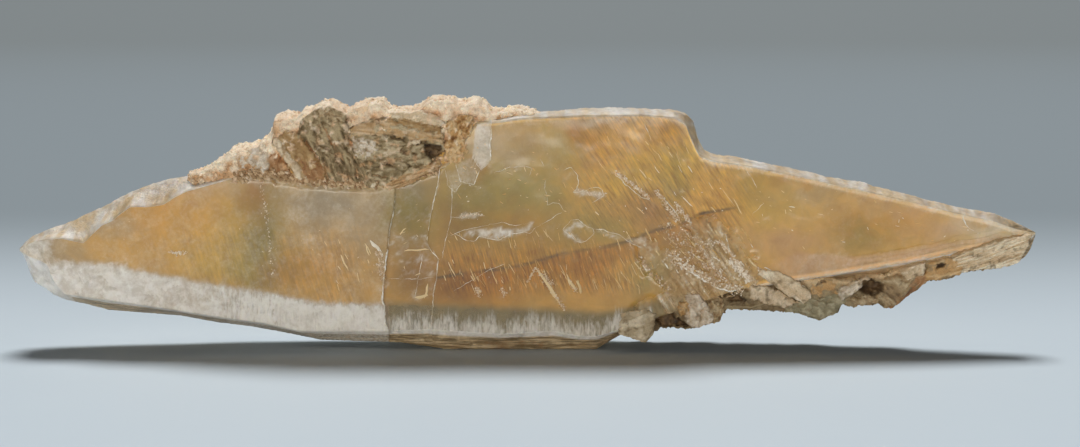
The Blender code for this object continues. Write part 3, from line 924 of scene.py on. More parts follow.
def rust_layer(at):
    """How rusty it is: in spots, in the breaks and along the foot."""
    x, z = at.x, at.z
    rust = 0.8 * ease(0.35, 0.8, speckle(x, 3.0, z, 4.5) + 0.5 * speckle(x, 1.0, z, 14.0))
    rust = rust * ease(40.0, 130.0, x) * 0.5
    rust = np.maximum(rust * (1.0 - 0.6 * at.left), 0.6 * at.broken * ease(0.42, 0.1, at.crest))
    foot = np.where(at.stretch == FOOT_BEVEL, 1.0, 0.0) * ease(0.80, 0.35, at.share)
    foot = foot * ease(8.0, 20.0, x) * ease(196.0, 180.0, x)
    rust = rust + foot * (0.20 + 0.25 * ease(85.0, 130.0, x) + 0.4 * speckle(x / 3.0, 0.0, z, 2.5))
    return np.maximum(rust, at.join * (0.45 + 0.6 * speckle(x, 5.0, z, 1.6)))


def bedded_layer(at):
    """Where the brown layers of the bed show through."""
    bevel = ease(0.95, 0.6, at.share)
    bedded = np.select([at.stretch == FOOT_BEVEL, at.stretch == FOOT_BACK], [bevel, 1.0], 0.0)
    bedded = bedded * ease(8.0, 20.0, at.x) * ease(196.0, 184.0, at.x)
    return np.maximum(bedded, 0.9 * ease(5.5, 3.0, at.height) * ease(222.0, 234.0, at.x))


def wisp_layer(at):
    """White fibres that rise from the foot, and those in the milky band."""
    wisp = ease(7.5, 0.0, at.height + 2.6 * speckle(at.x, 0.0, 0.0, 3.6)) * at.beyond
    bevel = ease(0.80, 0.95, at.share)
    wisp = wisp * np.select([at.front, at.stretch == FOOT_BEVEL], [1.0, bevel], 0.0)
    return np.maximum(wisp, 0.75 * at.in_band * at.left * ease(36.0, 62.0, at.x))


def haze_layer(at):
    """How much the clay close under the skin clouds it."""
    clearer = 0.15 * at.in_band * at.beyond + 0.06 * at.window
    haze = np.where(at.front, 0.55 - clearer, 0.45 * (at.stretch == BACK_ROWS))
    return np.maximum(haze, at.front * ease(2.0, 0.8, at.creases) * at.past_crust)


def skin_layers(at):
    """Every layer painted on the skin, each from 0 to 1."""
    layers = {"frost": frost_layer(at), "tan": tan_layer(at), "rust": rust_layer(at),
              "rough": 1.6 * at.broken + np.where(at.front, 0.0, 0.5) + 0.1 * at.in_band * at.left,
              "wisp": wisp_layer(at), "seen_through_shade": 0.55 * at.behind, "bedded": bedded_layer(at),
              "haze": haze_layer(at)}
    return {name: np.clip(values, 0.0, 1.0) for name, values in layers.items()}


print("layers ready")

# %% [markdown]
# ## The skin of clear gypsum
#
# The section, the steps and the relief meet here. The bevels and the back are left a little
# ragged, as a broken crystal is, and the top bevel is cut back where the crust sits on it.

# %% Skin of the blade


def skin_shape(column, row):
    """Points of the blade's skin, and what is painted on them."""
    stretch, share = [values[row] for values in ring_table(RING_ROWS)]
    rib_x = skin_columns()
    column_x = rib_x[column]
    y, z = round_ring(section_corners(rib_x), column, stretch, share)
    on_front = stretch == FRONT_ROWS
    near_front = np.select([on_front, stretch == TOP_BEVEL, stretch == FOOT_BEVEL],
                           [1.0, 1.0 - share, share], 0.0)
    x = column_x + bend_with_steps(column_x, z) * near_front
    depth = face_relief(column_x, x, z)
    thick = follow(BACK_LINE, x) - follow(FRONT_LINE, x)
    y = y + np.minimum(depth, 0.35 * thick) * near_front

    grain = 0.35 * speckle(x / 14.0, y, z * 1.6, 1.0, 2) + 0.25 * speckle(x, y, z, 1.8)
    beveled = np.select([stretch == FOOT_BEVEL, stretch == TOP_BEVEL, stretch == FOOT_BACK,
                         stretch == BACK_BEVEL], [0.55, 0.45, 0.6, 0.5], 0.0)
    beveled = beveled * np.sin(np.pi * share)
    inward = np.where(y < (follow(FRONT_LINE, x) + follow(BACK_LINE, x)) / 2.0, 1.0, -1.0)
    y = y + inward * np.abs(grain) * beveled * (1.0 + 1.2 * ease(66.0, 50.0, x))
    under_crust = ease(56.0, 64.0, x) * ease(122.0, 118.0, x) * (stretch == TOP_BEVEL)
    y = y + 3.2 * np.sin(np.pi * share ** 0.5) * under_crust
    back_wave = 0.5 * speckle(x / 2.5, 6.0, z, 8.0) + 0.35 * ridges(x / 6.0, 1.0, z, 3.0)
    y = np.where(stretch == BACK_ROWS, y - np.abs(back_wave) * np.sin(np.pi * share), y)
    marks = skin_marks(column_x, x, y, z, stretch, share)
    return in_frame(x, y, z), {**skin_layers(marks), **fibre_layers(x, y, z)}


def skin_columns():
    """Where the ribs stand: even, and doubled along the two cleavage steps."""
    pairs = [edge + side for edge in (STEP_LEFT_X, STEP_RIGHT_X) for side in (-STEP_GAP, STEP_GAP)]
    tips = [0.15, 0.35, 0.8, 1.2, 2.0, 258.4, 259.2, 259.7, LENGTH]
    return spaced(0.0, 260.0, COLUMN_STEP, pairs + tips)


skin = roll_grid("blade_skin", len(skin_columns()) - 1, sum(RING_ROWS), skin_shape)
print("skin:", len(skin.data.polygons), "faces")

# %% [markdown]
# ## The finish of the skin
#
# Where it is clean, selenite is glass-like: it transmits, with an index of 1.52 and a faint
# honey absorption. Where it is frosted, fine splinters scatter the light white, and dirt
# turns that white to tan or rust. So a clear shader and a cloudy one are mixed: the frost,
# broken up by grain, and the haze decide how much of each, and under the haze alone the
# cloudy one shows the clay's colours.

# %% Skin finish
GYPSUM_INDEX = 1.52
HONEY_DENSITY = 12.0


def skin_finish():
    gypsum = Finish("clear_gypsum")
    names = ("frost", "tan", "rust", "rough", "wisp", "bedded")
    frost, tan, rust, rough, wisp, bedded = [gypsum.layer(name) for name in names]
    fine = gypsum.noise(0.8, 4.0, 0.62)
    coarse = gypsum.noise(3.4, 6.0, 0.62, warp=0.5)
    upright_mm = gypsum.scaled(gypsum.mm, (1.15, 1.0, 0.26))
    fibres = gypsum.noise(0.8, 4.0, 0.65, vector=upright_mm, warp=0.4)
    film = (frost + (fine - 0.5) * 0.40 + (coarse - 0.5) * 0.55).step(0.02, 1.0)
    feathers = (wisp + (fibres - 0.5) * 1.9).step(0.25, 1.2) * wisp.step(0.0, 0.35)
    film = (film + feathers * 0.8).clamped()

    beds = gypsum.noise(0.7, 4.0, 0.6, vector=gypsum.scaled(gypsum.mm, (0.10, 0.8, 1.5)), warp=0.2)
    white = gypsum.mix((0.66, 0.61, 0.54), (0.93, 0.89, 0.83), (fine * 0.5 + coarse).step(0.53, 0.93))
    grit = (coarse * 0.6 + fine * 0.4).step(0.35, 0.65)
    sand = gypsum.mix((0.50, 0.36, 0.19), (0.80, 0.62, 0.39), grit)
    sand = gypsum.mix(sand, (0.19, 0.125, 0.055), bedded * beds.step(0.60, 0.40) * 0.9)
    stain = gypsum.mix((0.24, 0.12, 0.045), (0.46, 0.25, 0.10), fine)
    colour = gypsum.mix(white, sand, (tan + (coarse - 0.5) * 0.5).step(0.2, 0.8))
    colour = gypsum.mix(colour, stain, (rust + (fine - 0.5) * 0.4).step(0.3, 0.9))
    # painted shade: the back behind the clear band is grey-green, as the shade seen through it
    colour = gypsum.mix(colour, (0.44, 0.46, 0.31), gypsum.layer("seen_through_shade"))
    slanted_mm = gypsum.scaled(gypsum.turned(gypsum.mm, SLANT_LEAN), (1.0, 1.0, 0.2))
    bars = gypsum.noise(1.0, 4.0, 0.65, vector=slanted_mm, warp=0.3)
    torn = rough.step(0.6, 1.0)
    colour = gypsum.mix(colour, (0.27, 0.15, 0.055), torn * bars.step(0.50, 0.40) * 0.75)
    colour = gypsum.mix(colour, (0.95, 0.86, 0.71), torn * bars.step(0.55, 0.64) * 0.65)
    colour = gypsum.mix(colour, (0.93, 0.89, 0.82), feathers * 0.75)

    haze = gypsum.layer("haze")
    cover = film + haze * (1.0 - film)
    colour = gypsum.mix(clay_pattern(gypsum), colour, film / (cover + 0.001))

    relief = coarse * 0.6 + bars * torn + fine * 0.5 * (rough + 0.25)
    relief = relief + feathers * 0.3 + beds * bedded * 1.2
    frosted_bump = gypsum.bump((relief + fibres * 0.3) * (film * 0.8 + 0.2), 0.8, 0.45)
    clear_bump = gypsum.bump(coarse + fibres * 0.3, 0.25, 0.12)
    clear = gypsum.principled(Base_Color=(1.0, 0.985, 0.955, 1.0), IOR=GYPSUM_INDEX,
                              Roughness=(coarse * 0.10 + rough * 0.5 + frost * 0.2 + 0.03),
                              Transmission_Weight=1.0, Normal=clear_bump)
    frosted = gypsum.principled(Base_Color=colour, Roughness=0.5, IOR=GYPSUM_INDEX,
                                Subsurface_Weight=0.25, Subsurface_Radius=(1.0, 0.7, 0.4),
                                Subsurface_Scale=0.0015, Normal=frosted_bump)
    honey = gypsum.node("ShaderNodeVolumeAbsorption", {},
                        {"Color": (0.97, 0.86, 0.58, 1.0), "Density": HONEY_DENSITY})[0]
    return gypsum.finish(gypsum.mix_shaders(clear, frosted, cover), honey)


skin.data.materials.append(skin_finish())
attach(skin, "root")
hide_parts("blade_crystal")
print("skin finished")

# %% [markdown]
# ## The honey core
#
# Below the clear outer growth lies an older crystal that holds most of the clay. It is a
# second skin, the same section drawn in a little on every side, and it wears the same
# clouds and fibres, so they are seen at two depths and the blade looks deep.

# %% Core shape
CORE_STEP = 0.62
CORE_ENDS = (1.4, 258.6)
CORE_ROWS = [74, 7, 6, 4, 30, 5, 4, 9]
CORE_SINK = 1.5


def core_columns():
    return spaced(*CORE_ENDS, CORE_STEP)


def core_shape(column, row):
    """Points of the core: the blade's section, thinner and shorter, with its own relief."""
    stretch, share = [values[row] for values in ring_table(CORE_ROWS)]
    ribs = core_columns()
    corners = section_corners(ribs)
    low_z = np.minimum(corners[6][1], corners[1][1])
    high_z = corners[2][1]
    front, back = corners[0][0], corners[4][0]
    middle_y, middle_z = (front + back) / 2.0, (low_z + high_z) / 2.0
    thin = np.maximum(0.30, 1.0 - 2.0 * (CORE_SINK + 0.6 * (ribs > STEP_LEFT_X)) / (back - front))
    short = np.maximum(0.30, 1.0 - 1.6 / (high_z - low_z))
    drawn_in = [(middle_y + (corner_y - middle_y) * thin, middle_z + (corner_z - middle_z) * short)
                for corner_y, corner_z in corners]
    x = ribs[column]
    y, z = round_ring(drawn_in, column, stretch, share)
    along, across = slanted(x, z, STREAK_SLANT, 4.0)
    relief = 0.35 * ridges(along, 1.0, across, 2.6) * ease(132.0, 150.0, x)
    relief = relief + 0.25 * ridges(x, 2.0, z / 5.0, 1.8) * ease(150.0, 132.0, x)
    sink = break_share(x, z) * 2.0
    front_wall = (stretch == FRONT_ROWS) & (y < 0.0)
    y = np.where(front_wall, y + (0.4 - relief) * (thin[column] > 0.35) + sink, y)
    return in_frame(x, y, z), fibre_layers(x, y, z)


core = roll_grid("honey_core", len(core_columns()) - 1, sum(CORE_ROWS), core_shape)
print("core:", len(core.data.polygons), "faces")

# %% Core finish


def core_finish():
    clay = Finish("honey_clay")
    bump = clay.bump(clay.noise(5.0, 6.0, 0.62, warp=0.6), 0.6, 0.3)
    return clay.finish(clay.principled(Base_Color=clay_pattern(clay), Roughness=0.5, Normal=bump))


core.data.materials.append(core_finish())
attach(core, "root")
print("core finished")

# %% [markdown]
# ## White threads
#
# Where a cleavage sheet ends or a crack runs through the crystal, its edge catches the light
# as a thin bright line. Each is drawn as a curve just inside the wide face, with some
# jitter and a changing thickness, and turned into a thin tube.

# %% Threads
THREADS = [
    (0.14, [(94.9, 5.5), (93.9, 7.5), (93.9, 11.9), (93.2, 12.7), (93.5, 17.8), (94.3, 24.2),
            (95.1, 31.6), (96.2, 36.5), (96.7, 43)]),
    (0.08, [(105.6, 5.5), (105.9, 8.8), (106.2, 14.7), (107, 19.1), (107.5, 24), (105.7, 26),
            (104.7, 28.1), (105.5, 33.9), (106.3, 38.3), (107.6, 43.4), (108, 47)]),
    (0.05, [(111.1, 43), (111.1, 38.8), (110.8, 34.4), (109.3, 28.3), (108.5, 24)]),
    (0.04, [(105.2, 27.3), (107.5, 24.2), (108, 23.9)]),
    (0.04, [(103.5, 25.2), (102.9, 21.6), (102.1, 17.5), (101.4, 13.4)]),
    (0.03, [(94.7, 18.7), (98.8, 18.6), (102.9, 18.7), (106.4, 19.1)]),
    (0.07, [(111.6, 30.6), (113.1, 29.7), (114.2, 28.8), (116.7, 28.3), (117.8, 29.7), (120, 29.2),
            (122.9, 28.8), (125.1, 29.9), (129, 30.9), (130.9, 30.4), (132.3, 31.9)]),
    (0.04, [(132.3, 31.9), (134.5, 33.2), (137, 34.8), (139, 35.7)]),
    (0.03, [(110.6, 29.9), (112.7, 30.9), (116.4, 31.9), (120, 32.5), (123.6, 33.2), (127.2, 32.5),
            (130.1, 33)]),
    (0.035, [(139.2, 31.4), (140.3, 32.8), (141.7, 33.9), (143.2, 33.9), (145, 32.5), (146.8, 31.7),
            (147.2, 30.3), (145.4, 28.8), (143.6, 28.1), (142.1, 28.8), (141, 29.9), (139.2, 31.2)]),
    (0.06, [(146.8, 31.4), (149, 31.4), (151.9, 30.6), (153.7, 29.9), (156.3, 28.1), (159.9, 26.3),
            (163.5, 23.7)]),
    (0.035, [(134.8, 44.1), (134.5, 41.9), (135.4, 39.7), (135.2, 37.6), (136.7, 38.3), (138.5, 37.9),
            (139.2, 36.5)]),
    (0.045, [(139.2, 46.6), (141, 47.4), (142.8, 45.5), (143.2, 42.6), (141.7, 40.8), (144.6, 41.3),
            (146.8, 42.3), (149, 41.9), (149.7, 40.1), (146.8, 38.3)]),
    (0.035, [(121.8, 45.9), (125.1, 47), (129.4, 47.7), (131.6, 47), (130.5, 45.2)]),
    (0.035, [(110.6, 34.6), (113.5, 34.3), (116.4, 35.4), (118.6, 36.1)]),
    (0.03, [(133.4, 49.5), (134.5, 47.4)]),
    (0.12, [(121, 59.6), (121.1, 56), (120.7, 53), (121, 49)]),
    (0.04, [(120.9, 49), (118.5, 46.5), (116.2, 50)]),
    (0.05, [(112, 48.3), (113.2, 43.6), (116.7, 42.8), (118, 46.6)]),
    (0.04, [(109.4, 46.6), (110.2, 42.4), (112, 40.8), (113.5, 43.4)]),
    (0.04, [(111.2, 15.6), (115.6, 18.2), (120, 20.8), (124.3, 22.6)]),
    (0.07, [(152.3, 45.7), (155.3, 42.8), (159, 39.8), (161.6, 38.6)]),
    (0.09, [(164.6, 39.4), (166.5, 37.5), (168.8, 34.5)]),
    (0.04, [(159.7, 58.4), (160.8, 56.2), (161.6, 53.9)]),
    (0.05, [(185.8, 48), (185.6, 46.5), (187.3, 44.2), (188.4, 42)]),
    (0.04, [(187.4, 35.3), (190.3, 38.3)]),
    (0.10, [(241.5, 35.6), (240.7, 34.3), (241.9, 32.3), (243.7, 31.2)]),
    (0.06, [(174, 27.4), (178.6, 22.5), (182.3, 18)]),
    (0.06, [(175.5, 31.5), (180.8, 26.3), (186.1, 19.5)]),
    (0.09, [(178.5, 30.8), (180.7, 30), (181.5, 26.3)]),
    (0.16, [(168.8, 22.5), (173.3, 19.5), (178.6, 16.4), (182.4, 15.3), (186.1, 17.2)]),
    (0.09, [(190.5, 21.7), (193.5, 20.2), (196.6, 18), (201.1, 16.9)]),
]
print(len(THREADS), "threads")

# %% [markdown]
# ## Drawing the threads
#
# A thread keeps to its line only roughly. Points are set every half millimetre, each is
# pushed a little to one side, and the radius swells, shrinks and ends in a taper.

# %% Thread curves
THREAD_STEP = 0.55
THREAD_JITTER = 0.22


def measured(line):
    """A line's points as an array, and how far along the line each of them lies."""
    line = np.array(line, float)
    return line, np.concatenate([[0.0], np.cumsum(np.hypot(*np.diff(line, axis=0).T))])


def face_depth(x, z):
    """Where the wide face lies at (x, z), in millimetres of y."""
    return follow(FRONT_LINE, x) + face_relief(x, x, z)


def draw_thread(curve, radius, line, number):
    """One jittered spline along a line, with a thickness that comes and goes."""
    line, reach = measured(line)
    count = max(3, int(reach[-1] / THREAD_STEP) + 1)
    along = np.linspace(0.0, reach[-1], count)
    x = np.interp(along, reach, line[:, 0]) + THREAD_JITTER * speckle(along, number * 7.0, 0.0, 1.4)
    z = np.interp(along, reach, line[:, 1]) + THREAD_JITTER * speckle(along, number * 7.0, 9.0, 1.4)
    thick = 1.5 * radius * np.clip(0.85 + 1.0 * speckle(along, number * 3.0, 4.0, 2.4), 0.25, 1.9)
    thick = thick * np.sqrt(np.clip(np.minimum(along, reach[-1] - along) / 1.0, 0.05, 1.0))
    y = face_depth(x, z) + 0.35 * thick
    spline = curve.splines.new("POLY")
    spline.points.add(count - 1)
    places = np.concatenate([in_frame(x, y, z), np.ones((count, 1))], axis=1)
    spline.points.foreach_set("co", places.astype(np.float32).ravel())
    spline.points.foreach_set("radius", (thick * MM).astype(np.float32))


curve = bpy.data.curves.new("white_threads", "CURVE")
curve.dimensions = "3D"
curve.bevel_depth = 1.0
curve.bevel_resolution = 1
curve.use_fill_caps = True
for number, (radius, line) in enumerate(THREADS):
    draw_thread(curve, radius, line, number)
threads = bpy.data.objects.new("white_threads", curve)
bpy.context.collection.objects.link(threads)
deselect_all()
threads.select_set(True)
bpy.context.view_layer.objects.active = threads
bpy.ops.object.convert(target="MESH")
threads = bpy.context.object
bpy.ops.object.shade_smooth()


def thread_finish():
    bright = Finish("bright_edge")
    fine = bright.noise(0.9, 3.0)
    colour = bright.mix((0.72, 0.62, 0.45), (0.97, 0.94, 0.87), fine.step(0.38, 0.58))
    return bright.finish(bright.principled(Base_Color=colour, Roughness=0.25))


threads.data.materials.append(thread_finish())
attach(threads, "root")
print("threads", len(threads.data.polygons), "faces")

# %% [markdown]
# ## Grain of the stone
#
# Sandstone is lumps set side by side, and a broken crystal is splinters that each tilt their
# own way, with a crack between them. Both patterns come from cells of noise. A stone has
# three colours: its hollows and cracks are darkened as painted shade, its faces keep the
# stone's own colour, and its crests are lightened as painted light.

# %% Stone grain


def pebbles(x, y, z, size):
    """Rounded lumps of sugary stone: 1 on each top, 0 in the gaps."""
    grid = np.stack(np.broadcast_arrays(x, y, z), axis=-1).reshape(-1, 3) / size
    gaps = np.array([noise.voronoi(point)[0][0] for point in grid])
    return np.clip(1.0 - 1.35 * gaps ** 2, 0.0, 1.0).reshape(np.broadcast(x, y, z).shape)


def shards(x, y, z, size):
    """Flat splinters, each with its own tilt: height and closeness to a crack, 0 to 1."""
    grid = np.stack(np.broadcast_arrays(x, y, z), axis=-1).reshape(-1, 3) / size
    heights = np.empty(len(grid))
    cracks = np.empty(len(grid))
    for index, point in enumerate(grid):
        gaps, seeds = noise.voronoi(point)
        tilt = noise.cell_vector(seeds[0] * 7.31)
        heights[index] = 0.5 + 0.45 * tilt[1] + 1.1 * (Vector(point) - seeds[0]).dot(tilt)
        cracks[index] = gaps[1] - gaps[0]
    return np.clip(heights, 0.0, 1.0), ease(0.22, 0.0, cracks)


def three_tones(palette, tone):
    """Hollow colour (painted shade), face colour and crest colour (painted light) for a tone of 0 to 1."""
    deep, face, crest = palette
    colour = blend(np.array(deep), face, ease(0.0, 0.5, tone))
    return blend(colour, crest, ease(0.5, 1.0, tone))


print("stone grain ready")

# %% [markdown]
# ## Carving stone
#
# The crust and the torn underside are skins whose front is carved. Every crystal or lump is
# an outline with a height and a grain that leans its own way. Where two overlap, the one
# that stands forward is the one that shows, just as on the real thing.

# %% Carver


def carve_crystals(x, z, y, colour, sandy, crystals):
    """Lay crystals over a front; the one farthest forward shows."""
    for number, (outline, lift, lean, stretch, size, rugged, palette) in enumerate(crystals):
        reach = np.array(outline)
        low, high = reach.min(axis=0) - 1.0, reach.max(axis=0) + 1.0
        near = np.flatnonzero((x > low[0]) & (x < high[0]) & (z > low[1]) & (z < high[1]))
        here_x, here_z = x[near], z[near]
        edge = inside(outline, here_x, here_z) + 0.45 * speckle(here_x, 5.0 * number, here_z, 1.3)
        along, across = slanted(here_x, here_z, math.radians(lean), stretch)
        swell = speckle(here_x, 3.0 * number, here_z, 3.2)
        bend = size * speckle(along, 11.0 * number, across, 1.5 * size)
        splinter, crack = shards(along + bend, 9.0 * number, across - 0.6 * bend, size)
        crags = ridges(along, 9.0 * number, across, 0.8 * size)
        small = 0.5 + 0.6 * speckle(along, 7.0 * number, across, 0.5 * size)
        grain = np.clip(0.40 * splinter + 0.34 * crags + 0.26 * small, 0.0, 1.0) * (1.0 - 0.25 * crack)
        grain = np.clip(1.5 * grain - 0.2, 0.0, 1.0)
        worn = np.clip(edge / (0.5 + 0.7 * rugged), 0.0, 1.0)
        surface = lift + rugged * (0.75 - grain) - 0.3 * swell
        surface = surface + (0.2 + 0.6 * rugged) * (1.0 - np.sqrt(worn))
        shows = (edge > 0.0) & (surface < y[near])
        # painted shade and light: crests of the grain are toned lighter, its cracks and the outline edge
        # darker
        crisp = min(1.0, 0.35 + 0.55 * rugged)
        shade = 1.0 - 0.18 * min(rugged, 1.0) * ease(0.45, 0.0, edge)
        tone = (0.55 + (grain - 0.45) * crisp + 0.25 * swell) * shade
        painted = three_tones(palette, np.clip(tone, 0.0, 1.0))
        dusty = speckle(here_x, 21.0 * number, here_z, 1.7) + 0.25 * ease(1.4, 0.0, edge)
        sand = colour[near] * (0.7 + 0.6 * small[:, None])
        painted = blend(painted, sand, 0.7 * ease(0.15, 0.6, dusty))
        y[near] = np.where(shows, surface, y[near])
        colour[near] = np.where(shows[:, None], painted, colour[near])
        sandy[near] = np.where(shows, 0.0, sandy[near])


def carve_hollows(x, z, y, colour, sandy, hollows):
    """Press recesses into a front, painted in their palette: the dark ones as painted shade."""
    for number, (outline, deep, palette) in enumerate(hollows):
        edge = inside(outline, x, z) + 0.6 * speckle(x, 4.0 * number, z, 1.5)
        sunk = ease(0.0, 1.3, edge)
        tone = np.clip(0.5 + 0.6 * speckle(x, 2.0 * number, z, 1.8), 0.0, 1.0)
        y += deep * sunk
        colour[:] = blend(colour, three_tones(palette, tone), ease(0.0, 0.8, edge))
        sandy *= 1.0 - sunk


print("carver ready")

# %% [markdown]
# ## Rolling a carved skin
#
# A carved piece is rolled like the blade, between a lower and an upper outline and a front
# and a back one. It is rounded where its faces meet, lumpy all round and warmer or paler
# along its upper rim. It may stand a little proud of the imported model, and no more.

# %% Carved skins
CARVE_STEP = 0.22
OVERSIZE = 0.45
OVERSIZE_BACK = 0.3
OVERSIZE_TOP = 0.6


def carved_skin(name, rows, low, high, front, back, ground, rim, crystals, hollows, rounding=1.2):
    """A closed skin between two outlines, with lumps all round and a carved front."""
    ribs = spaced(low[0][0], low[-1][0], CARVE_STEP)

    def shape(column, row):
        stretch, share = [values[row] for values in ring_table(rows)]
        x = ribs[column]
        on_front, on_top, on_back, on_foot = [stretch == number for number in range(4)]
        climb = np.select([on_front, on_top, on_back], [share, 1.0, 1.0 - share], 0.0)
        deep = np.select([on_front, on_top, on_back], [0.0, share, 1.0], 1.0 - share)
        floor = follow(low, x) + 0.35 * speckle(x, 1.0, 0.0, 0.9)
        roof = np.maximum(follow(high, x) + 0.35 * speckle(x, 8.0, 0.0, 1.1), floor + 0.4)
        arch = rounding * np.minimum(1.0, (roof - floor) / 6.0) * (2.0 * deep - 1.0) ** 2
        z = floor + (roof - floor) * climb - np.where(on_foot, -arch, arch * climb)
        closing = np.sqrt(np.clip(np.minimum(x - ribs[0], ribs[-1] - x) / 2.5, 0.0, 1.0))
        middle = (follow(front, x) + follow(back, x)) / 2.0
        y = middle + (follow(front, x) - middle + (follow(back, x) - follow(front, x)) * deep) * closing
        lumps = 0.65 * pebbles(x, y, z, 3.4) + 0.35 * pebbles(x, y, z + 20.0, 1.5)
        swell = speckle(x, y, z, 6.0)
        proud = 1.5 * (lumps - 0.55) + 0.7 * swell
        y = y + np.select([on_front, on_back], [-proud, proud], 0.0)
        z = z + np.select([on_top, on_foot], [proud * 0.6, -proud * 0.5], 0.0)
        # painted shade and light: gaps between the lumps are toned dark, lump tops light, and the upper rows
        # lighter
        tone = np.clip(0.12 + 0.75 * lumps + 0.25 * swell + 0.25 * climb ** 2, 0.0, 1.0)
        colour = three_tones(ground, tone)
        colour = blend(colour, rim[:3], rim[3] * ease(0.75, 1.0, climb) * (y < 0.0))
        stain = ease(0.15, 0.6, speckle(x, y + 9.0, z, 4.5)) * 0.35
        colour = colour * (1.0 - stain[:, None] * np.array([0.12, 0.35, 0.55]))
        sandy = np.ones(len(x))
        face = np.flatnonzero(on_front)
        parts = [x[face], z[face], y[face], colour[face], sandy[face]]
        carve_crystals(*parts, crystals)
        carve_hollows(*parts, hollows)
        y[face], colour[face], sandy[face] = parts[2], parts[3], parts[4]
        y = np.clip(y, FRONT - OVERSIZE, BACK + OVERSIZE_BACK)
        z = np.clip(z, 0.0, TOP + OVERSIZE_TOP)
        return in_frame(x, y, z), {"paint": colour, "sandy": sandy}

    return roll_grid(name, len(ribs) - 1, sum(rows), shape)


print("carved skins ready")

# %% [markdown]
# ## The finish of the stones
#
# Sand and stained gypsum are matt, with a little light inside. The painted colour of each
# point is kept, and a fine grain over it makes single sand grains lighter or darker.

# %% Stone finish


def stone_finish(name, rough, grain, flesh):
    """Painted stone: fine grain over the painted colour, with a little light inside."""
    stone = Finish(name)
    fine = stone.noise(0.35, 3.0, 0.7)
    coarse = stone.noise(1.3, 5.0, 0.65, warp=0.4)
    colour = stone.tint("paint")
    light = (coarse + fine - 1.0).step(0.0, 0.25) * 0.6
    dark = (1.0 - coarse - fine).step(0.0, 0.25) * 0.6
    colour = stone.mix(colour, (1.30, 1.26, 1.20), light, "MULTIPLY")
    colour = stone.mix(colour, (0.62, 0.54, 0.46), dark, "MULTIPLY")
    bump = stone.bump(coarse + fine * 0.4, 0.8, grain)
    return stone.finish(stone.principled(Base_Color=colour, Roughness=rough, Normal=bump,
                                         Subsurface_Weight=flesh, Subsurface_Scale=0.0008,
                                         Subsurface_Radius=(1.0, 0.6, 0.35)))


def adopt(piece, material):
    """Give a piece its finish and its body."""
    piece.data.materials.clear()
    piece.data.materials.append(material)
    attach(piece, "root")


print("stone finish ready")

# %% [markdown]
# ## Colours of the stones
#
# Three colours each: the hollows, darkened as painted shade, the faces, in the stone's own
# colour, and the crests, lightened as painted light. The sands go from dusty pink on the
# shoulder to brown below; the crystals are honey, rust, olive and milky.

# %% Palettes
STONES = {
    "pink sand": [(0.30, 0.15, 0.06), (0.62, 0.385, 0.205), (0.98, 0.85, 0.67)],
    "brown sand": [(0.055, 0.032, 0.014), (0.20, 0.14, 0.07), (0.34, 0.26, 0.145)],
    "tan sand": [(0.12, 0.065, 0.03), (0.34, 0.23, 0.115), (0.54, 0.42, 0.26)],
    "amber": [(0.14, 0.06, 0.02), (0.33, 0.19, 0.07), (0.48, 0.32, 0.15)],
    "orange": [(0.22, 0.10, 0.03), (0.50, 0.29, 0.11), (0.70, 0.49, 0.26)],
    "rust": [(0.14, 0.05, 0.02), (0.33, 0.16, 0.06), (0.46, 0.28, 0.14)],
    "olive": [(0.055, 0.034, 0.014), (0.19, 0.13, 0.06), (0.42, 0.32, 0.18)],
    "block": [(0.07, 0.042, 0.018), (0.27, 0.20, 0.10), (0.50, 0.40, 0.25)],
    "band": [(0.24, 0.12, 0.045), (0.48, 0.30, 0.135), (0.64, 0.47, 0.29)],
    "cream": [(0.36, 0.25, 0.14), (0.58, 0.44, 0.28), (0.78, 0.65, 0.48)],
    "pale": [(0.40, 0.28, 0.16), (0.66, 0.51, 0.33), (0.86, 0.75, 0.57)],
    "white": [(0.34, 0.24, 0.15), (0.55, 0.44, 0.32), (0.77, 0.68, 0.56)],
    "milky": [(0.30, 0.23, 0.135), (0.46, 0.37, 0.24), (0.69, 0.60, 0.45)],
    "grey": [(0.20, 0.15, 0.10), (0.38, 0.33, 0.26), (0.60, 0.55, 0.47)],
    "green": [(0.10, 0.075, 0.038), (0.27, 0.235, 0.14), (0.45, 0.40, 0.27)],
    # the dark palette is painted shade for pits and recesses
    "dark": [(0.045, 0.025, 0.012), (0.12, 0.07, 0.03), (0.24, 0.15, 0.07)],
}
print(len(STONES), "stone palettes")


def stones(rows):
    """The same rows with each stone's name swapped for its colours."""
    return [(*row[:-1], STONES[row[-1]]) for row in rows]


# %% [markdown]
# ## The shoulder
#
# Small crystals grew side by side on the shoulder and sand set hard over them. From the left: an
# amber nodule, a pink lump, an amber crystal with a pale rim, a big leaning rough one, a
# block built in layers with a pale ledge, a sandy column, then clear and grey facets.

